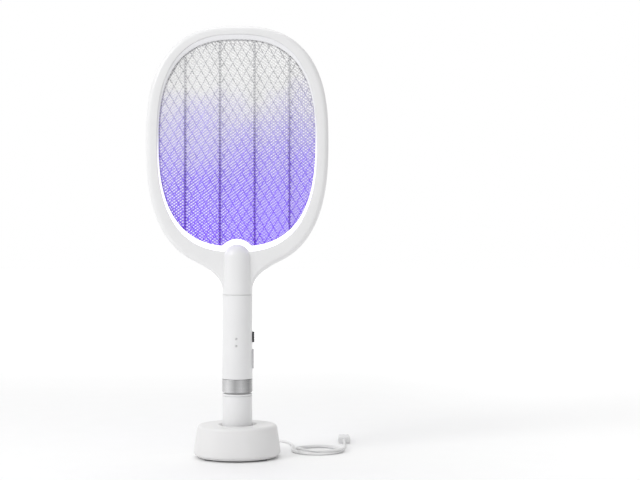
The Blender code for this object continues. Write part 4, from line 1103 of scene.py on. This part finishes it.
SEAL_INNER = 10.9 * MM
SEAL_OUTER = 14.4 * MM
low, high = lowest("neck_seal"), highest("neck_seal")
seal_corners = [
    (SEAL_INNER, high, 0.2 * MM),
    (SEAL_OUTER, high, 0.3 * MM),
    (SEAL_OUTER, low, 0.3 * MM),
    (SEAL_INNER, low, 0.2 * MM),
]
turned_part("neck_seal", seal_corners, "neck_seal", "white_rubber", steps=96)


# ---------- the dock

DOCK_TOP = highest("dock_shell")
DOCK_FOOT = lowest("dock_shell")
DOCK_WIDE = highest("dock_shell", "X")
DOCK_NARROW = DOCK_WIDE - 4.4 * MM
DEPTH_SHARE = -lowest("dock_shell", "Y") / DOCK_WIDE
DOCK_OPENING = 21.5 * MM
ROOF_UNDER = DOCK_TOP - 2.2 * MM
PORT_LEVEL = middle("usb_c_grip", "Z")
PORT_HALF = (5.7 * MM, 2.7 * MM)
PORT_DEPTHS = (34 * MM, 55 * MM)
PORT_CORNER = 2.2 * MM

shell_corners = [
    (DOCK_OPENING, DOCK_TOP, 0.4 * MM),
    (DOCK_NARROW - 0.2 * MM, DOCK_TOP, 4.2 * MM),
    (DOCK_WIDE + 0.15 * MM, DOCK_FOOT, 5 * MM),
    (DOCK_WIDE - 4.6 * MM, DOCK_FOOT),
    (DOCK_WIDE - 2.6 * MM, DOCK_FOOT + 4 * MM),
    (DOCK_NARROW - 2.8 * MM, ROOF_UNDER, 2 * MM),
    (DOCK_OPENING, ROOF_UNDER),
]
shell = turned_part(
    "dock_shell", shell_corners, "dock", "dock_plastic", 8, 160, 35, depth_share=DEPTH_SHARE
)
round_hole = rod(DOCK_OPENING, DOCK_TOP + 4 * MM, DOCK_TOP - 9 * MM, 128)
port_up = around(PORT_LEVEL, PORT_HALF[1])
port = block(around(0, PORT_HALF[0]), PORT_DEPTHS, port_up, PORT_CORNER, 6)
carved(shell, [round_hole, port], sharp=35)

RIM = highest("dock_well")
WELL_FLOOR = HANDLE_BOTTOM - GAP
WELL_UNDER = lowest("dock_well")
WELL_BORE = 17.6 * MM
WELL_OUTER = 19.3 * MM
RIM_INNER = 20.6 * MM
RIM_OUTER = 21.3 * MM
PIN_RADIUS = 1 * MM
PIN_HOLE = 1.5 * MM
well_corners = [
    (0, WELL_FLOOR),
    (WELL_BORE, WELL_FLOOR, 1 * MM),
    (WELL_BORE, RIM - 4.3 * MM, 1 * MM),
    (RIM_INNER, RIM, 0.5 * MM),
    (RIM_OUTER, RIM, 0.2 * MM),
    (RIM_OUTER, RIM - 3.3 * MM),
    (WELL_OUTER, RIM - 6 * MM),
    (WELL_OUTER, WELL_UNDER),
    (0, WELL_UNDER),
]
well = turned_part("dock_well", well_corners, "dock", "dock_plastic", 5, 128, 35)
pins = {"charge_pin_1": "charge_pin_centre", "charge_pin_2": "charge_pin_outer"}
spots = {node: spot_of(node) for node in pins}
hole_ends = (WELL_FLOOR + 3 * MM, WELL_UNDER - 3 * MM)
carved(well, [rod(PIN_HOLE, *hole_ends, 32, spot) for spot in spots.values()], sharp=35)
for node, body in pins.items():
    profile = pin_profile(PIN_RADIUS, highest(node), lowest(node), 0.9 * MM, steps=6)
    stand_in(node, turned(profile, 32, spots[node]), body, "brass")

profile = pin_profile(
    highest("base_plate", "X"), highest("base_plate"), lowest("base_plate"), 0.3 * MM, 0.5 * MM
)
plate_shape = turned(profile, 160, depth_share=DEPTH_SHARE)
stand_in("base_plate", plate_shape, "dock", "dock_plastic", 35)

FOOT_RADIUS = 5 * MM
FOOT_RIM = 3.6 * MM
FOOT_HOLLOW = 3.4 * MM
HOLLOW_DEPTH = 0.4 * MM
for number in range(1, 5):
    node = f"foot_{number}"
    foot_corners = [
        (0, highest(node)),
        (FOOT_RADIUS, highest(node)),
        (FOOT_RADIUS, 0, 0.7 * MM),
        (FOOT_RIM, 0, 0.2 * MM),
        (FOOT_HOLLOW, HOLLOW_DEPTH, 0.1 * MM),
        (0, HOLLOW_DEPTH),
    ]
    turned_part(node, foot_corners, "dock", "grey_rubber", steps=48, centre=spot_of(node))


# ---------- the USB lead

CORD_RADIUS = 1.5 * MM
CORD_LEVEL = 1.6 * MM
COIL_CENTRE = spot_of("cord_coil")
COIL_TURNS = 2.5
COIL_POINTS = 50
COIL_RADIUS = 29.7 * MM
COIL_INNER = 23.56 * MM
COIL_END_RADIUS = 30.5 * MM
TURN_PITCH = 3.15 * MM
TURNS_INWARDS = 1.95
OUTWARDS = (2.02, COIL_TURNS)  # where the cord runs out again, in turns
CLIMBING = (1.8, 2.1)
CLIMB = 3.1 * MM
LEAD_IN_X = COIL_CENTRE[0] - COIL_RADIUS
LEAD_OUT_X = COIL_CENTRE[0] + COIL_END_RADIUS
C_RELIEF_END = highest("usb_c_grip", "Y")
A_RELIEF_START = lowest("usb_a_grip", "Y")
A_LEVEL = middle("usb_a_grip", "Z")
A_PLUG_X = middle("usb_a_grip", "X")

LEAD_IN = [  # from the plug behind the dock, down to the table and round to the coil's left side
    (0, C_RELIEF_END + GAP, PORT_LEVEL),
    (0.4 * MM, 79 * MM, 9.0 * MM),
    (2 * MM, 87 * MM, 5.4 * MM),
    (6 * MM, 96 * MM, 2.4 * MM),
    (13 * MM, 105 * MM, CORD_LEVEL),
    (24 * MM, 111 * MM, CORD_LEVEL),
    (36 * MM, 111 * MM, CORD_LEVEL),
    (47 * MM, 105 * MM, CORD_LEVEL),
    (55 * MM, 94 * MM, CORD_LEVEL),
    (59 * MM, 80 * MM, CORD_LEVEL),
    (LEAD_IN_X, 68 * MM, CORD_LEVEL),
    (LEAD_IN_X, 56.5 * MM, CORD_LEVEL),
    (LEAD_IN_X, 48 * MM, CORD_LEVEL),
]
LEAD_OUT = [  # from the coil's right side back to the USB-A plug
    (LEAD_OUT_X, 47 * MM, 4.3 * MM),
    (LEAD_OUT_X, 55 * MM, 3.4 * MM),
    (LEAD_OUT_X + 0.4 * MM, 63 * MM, 1.8 * MM),
    (LEAD_OUT_X + 0.8 * MM, 71 * MM, 2.0 * MM),
    (LEAD_OUT_X + 0.8 * MM, 78 * MM, 3.3 * MM),
    (A_PLUG_X, A_RELIEF_START - GAP, A_LEVEL),
]


def coil_points():
    """Two and a half turns: inwards side by side on the table, then out over the top."""
    points = []
    for step in range(COIL_POINTS + 1):
        turns = COIL_TURNS * step / COIL_POINTS
        radius = COIL_RADIUS - TURN_PITCH * min(turns, TURNS_INWARDS)
        radius += (COIL_END_RADIUS - COIL_INNER) * eased(turns, *OUTWARDS)
        level = CORD_LEVEL + CLIMB * eased(turns, *CLIMBING)
        angle = math.pi + 2 * math.pi * turns
        x = COIL_CENTRE[0] + radius * math.cos(angle)
        y = COIL_CENTRE[1] + radius * math.sin(angle)
        points.append((x, y, level))
    return points


def smooth_route(points, step):
    """Points about a step apart on a Catmull-Rom curve through the given ones."""
    route = []
    padded = [points[0], *points, points[-1]]
    for p0, p1, p2, p3 in zip(padded, padded[1:], padded[2:], padded[3:], strict=False):
        pieces = max(1, round(math.dist(p1, p2) / step))
        for i in range(pieces):
            t = i / pieces
            place_at = []
            for a, b, c, d in zip(p0, p1, p2, p3, strict=True):
                bend = (2 * a - 5 * b + 4 * c - d) * t**2 + (3 * b - a - 3 * c + d) * t**3
                place_at.append(0.5 * (2 * b + (c - a) * t + bend))
            route.append(tuple(place_at))
    return [*route, tuple(points[-1])]


route = smooth_route([*LEAD_IN, *coil_points(), *LEAD_OUT], 2 * MM)
curve = bpy.data.curves.new("usb_cord", "CURVE")
curve.dimensions = "3D"
curve.bevel_depth = CORD_RADIUS
curve.bevel_resolution = 5
curve.use_fill_caps = True
spline = curve.splines.new("POLY")
spline.points.add(len(route) - 1)
for point, spot in zip(spline.points, route, strict=True):
    point.co = (*spot, 1)
spline.use_smooth = True
cord = in_scene("usb_cord", curve)
curve.materials.append(FINISHES["cable_jacket"])
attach(cord, "charging_cable")
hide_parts("cord_lead_in", "cord_coil", "cord_lead_out")

SOFT_END = 0.6 * MM
GRIP_LENGTH = 18.2 * MM
C_GRIP_HALF = (5.1 * MM, 3.1 * MM)  # half width and half height
A_GRIP_HALF = (7.15 * MM, 3.8 * MM)
A_SHELL_HALF = (6.1 * MM, 2.25 * MM)
SHELL_WALL = 0.35 * MM
TONGUE_CORNER = 0.15 * MM
C_TONGUE_HALF = (3.3 * MM, 0.35 * MM)
A_TONGUE_HALF = 5.5 * MM
WINDOW_ASIDE = 2.9 * MM
WINDOW_BACK = 5.6 * MM
WINDOW_HALF = (1.15 * MM, 1 * MM)
CONTACT_PITCH = 2.3 * MM
CONTACT_HALF = 0.5 * MM
RELIEF_BORE = CORD_RADIUS + 0.06 * MM
RELIEF_ROOT = 2.15 * MM
RELIEF_TIP = 1.9 * MM
C_SPOT = (0, PORT_LEVEL)
A_SPOT = (A_PLUG_X, A_LEVEL)


def section(half, inset, corner, spot, y, steps=6):
    """A rounded rectangle across a plug, from its half sizes and how far it is drawn in."""
    wide, tall = half[0] - inset, half[1] - inset
    signs = ((-1, -1), (1, -1), (1, 1), (-1, 1))
    corners = [(wide * right, tall * top, corner) for right, top in signs]
    return [(spot[0] + across, y, spot[1] + up) for across, up in rounded(corners, steps)]


def grip(node, spot, half, shell_end, toward):
    """A moulded plug grip from its shell end to the strain relief, with softened ends."""
    corner = half[1] * 0.75
    insets = [(0.0, SOFT_END), (0.15 * SOFT_END, 0.45 * SOFT_END), (SOFT_END, 0.0)]
    for ahead, inset in ((1.2, 0.0), (0.5, 0.12), (0.12, 0.55), (0.0, 1.2)):
        insets.append((GRIP_LENGTH - ahead * MM, inset * MM))
    rings = []
    for back, inset in insets:
        rings.append(section(half, inset, corner - inset / 2, spot, shell_end + toward * back))
    return stand_in(node, loft(rings), "charging_cable", "cable_jacket", 45)


def relief(name, spot, root, tip, toward):
    """The sleeve that the cord leaves the grip through: it tapers a little and has soft ends."""
    near = root - toward * SOFT_END
    corners = [
        (RELIEF_BORE, near),
        (RELIEF_ROOT, near),
        (RELIEF_TIP, tip, 0.25 * MM),
        (RELIEF_BORE, tip, 0.1 * MM),
    ]
    shape = turned(rounded(corners), 40, spot, upright=False)
    return add(name, shape, "charging_cable", "cable_jacket")


def metal_shell(node, spot, half, corner, lip, ends, mouth_corner, mouth_ends):
    """A plug's shell, drawn in by lip at its tip, and the cutter of its mouth."""
    tip, root = ends
    inward = math.copysign(0.3 * MM, root - tip)
    places = ((tip, lip), (tip + inward, 0.0), (root, 0.0))
    shape = loft([section(half, inset, corner, spot, y) for y, inset in places])
    mouth = loft([section(half, SHELL_WALL, mouth_corner, spot, y) for y in mouth_ends])
    return stand_in(node, shape, "charging_cable", "steel"), mouth


c_root = lowest("usb_c_grip", "Y")
a_root = highest("usb_a_grip", "Y")
c_grip = grip("usb_c_grip", C_SPOT, C_GRIP_HALF, c_root, 1)
c_relief = relief("usb_c_relief", C_SPOT, c_root + GRIP_LENGTH, C_RELIEF_END + 2 * GAP, 1)
a_grip = grip("usb_a_grip", A_SPOT, A_GRIP_HALF, a_root, -1)
a_relief = relief("usb_a_relief", A_SPOT, a_root - GRIP_LENGTH, A_RELIEF_START - 2 * GAP, -1)

c_low, c_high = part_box("usb_c_shell")
c_half = ((c_high.x - c_low.x) / 2, (c_high.z - c_low.z) / 2)
c_ends = (c_low.y, c_root + 0.5 * MM)
c_mouth_ends = (c_low.y - 1 * MM, c_low.y + 5 * MM)
c_shell, c_mouth = metal_shell(
    "usb_c_shell", C_SPOT, c_half, c_half[1] * 0.95, 0.25 * MM, c_ends, 0.8 * MM, c_mouth_ends
)
carved(c_shell, [c_mouth])
along = (c_low.y + 1 * MM, c_low.y + 5.5 * MM)
wide, tall = C_TONGUE_HALF
tongue_shape = block(around(0, wide), along, around(PORT_LEVEL, tall), TONGUE_CORNER)
c_tongue = add("usb_c_tongue", tongue_shape, "charging_cable", "component_black")

a_tip = highest("usb_a_shell", "Y")
a_ends = (a_tip, a_root - 0.5 * MM)
a_mouth_ends = (a_tip + 1 * MM, a_root + 1.5 * MM)
a_shell, a_mouth = metal_shell(
    "usb_a_shell", A_SPOT, A_SHELL_HALF, 0.6 * MM, 0.12 * MM, a_ends, 0.4 * MM, a_mouth_ends
)
cuts = [a_mouth]
for side in (-1, 1):  # the two square windows of a USB-A shell
    across = around(A_PLUG_X + side * WINDOW_ASIDE, WINDOW_HALF[0])
    along = around(a_tip - WINDOW_BACK, WINDOW_HALF[1])
    cuts.append(block(across, along, around(A_LEVEL, 5 * MM)))
seam_top = A_LEVEL + A_SHELL_HALF[1]
along = (a_root + 0.4 * MM, a_tip + 1 * MM)
cuts.append(block(around(A_PLUG_X, 0.1 * MM), along, (seam_top - 0.15 * MM, seam_top + 1 * MM)))
carved(a_shell, cuts)
along = (a_root + 1.2 * MM, a_tip - 0.6 * MM)
up = (A_LEVEL - 1.85 * MM, A_LEVEL - 0.1 * MM)
tongue_shape = block(around(A_PLUG_X, A_TONGUE_HALF), along, up, TONGUE_CORNER)
a_tongue = add("usb_a_tongue", tongue_shape, "charging_cable", "component_black")
strips = []
for number in range(4):
    across = around(A_PLUG_X + (number - 1.5) * CONTACT_PITCH, CONTACT_HALF)
    along = (a_root + 2.5 * MM, a_tip - 1.5 * MM)
    strips.append(block(across, along, (A_LEVEL - 0.15 * MM, A_LEVEL + 0.02 * MM)))
a_contacts = add("usb_a_contacts", joined(*strips), "charging_cable", "brass")


# ---------- table, light, air

TABLE_HALF = 9
WHITE_LIGHT = (1.0, 1.0, 1.0, 1.0)

bm = bmesh.new()
bmesh.ops.create_grid(bm, x_segments=8, y_segments=8, size=TABLE_HALF)
table_mesh = as_mesh("table", bm)
table = in_scene("table", table_mesh)
table.location.z = -0.1 * MM
surface = moulded("table_top", (0.93, 0.93, 0.93), 0.6, grain=300, relief=0.01, mottle=0.01)
# The table glows though it is no lamp: painted light, stronger far back and to the right, whitens it where
# the lamps and air light it less.
surface.shader.inputs["Emission Color"].default_value = WHITE_LIGHT
painted_glow_far = surface.span(surface.part_of_place("Y"), 0.2, 2.2, 0.0, 0.4, smooth=True)
painted_glow_right = surface.span(surface.part_of_place("X"), 0.1, 0.5, 0.0, 0.09, smooth=True)
surface.link(surface.maths("ADD", painted_glow_far, painted_glow_right), "Emission Strength")
table_mesh.materials.append(surface.material)

# The air is brightest behind the swatter, and dimmer all round it and most on its right.
world = bpy.data.worlds.new("studio")
world.use_nodes = True
bpy.context.scene.world = world
air = Wiring(world.node_tree, "Generated")
right = air.span(air.part_of_place("X"), 0.25, 0.8, 1.0, 0.66, smooth=True)
ahead = air.span(air.part_of_place("Y"), 0.85, 0.4, 1.0, 0.80, smooth=True)
background = air.nodes["Background"]
air.links.new(air.maths("MULTIPLY", right, ahead), background.inputs["Strength"])
background.inputs["Color"].default_value = WHITE_LIGHT


def soft_light(name, location, target, size, power):
    data = bpy.data.lights.new(name, "AREA")
    data.shape = "DISK"
    data.size = size
    data.energy = power
    light = in_scene(name, data)
    light.location = location
    x, y, z = (b - a for a, b in zip(location, target, strict=True))
    light.rotation_euler = (math.atan2(math.hypot(x, y), -z), 0, math.atan2(-x, y))


soft_light("key", (-1.4, -1.1, 1.4), (0, 0, 0.25), 0.9, 13.5)
soft_light("top", (0.0, 0.1, 1.9), (0, 0, 0.1), 1.0, 5)

bpy.context.scene.view_settings.view_transform = "Standard"
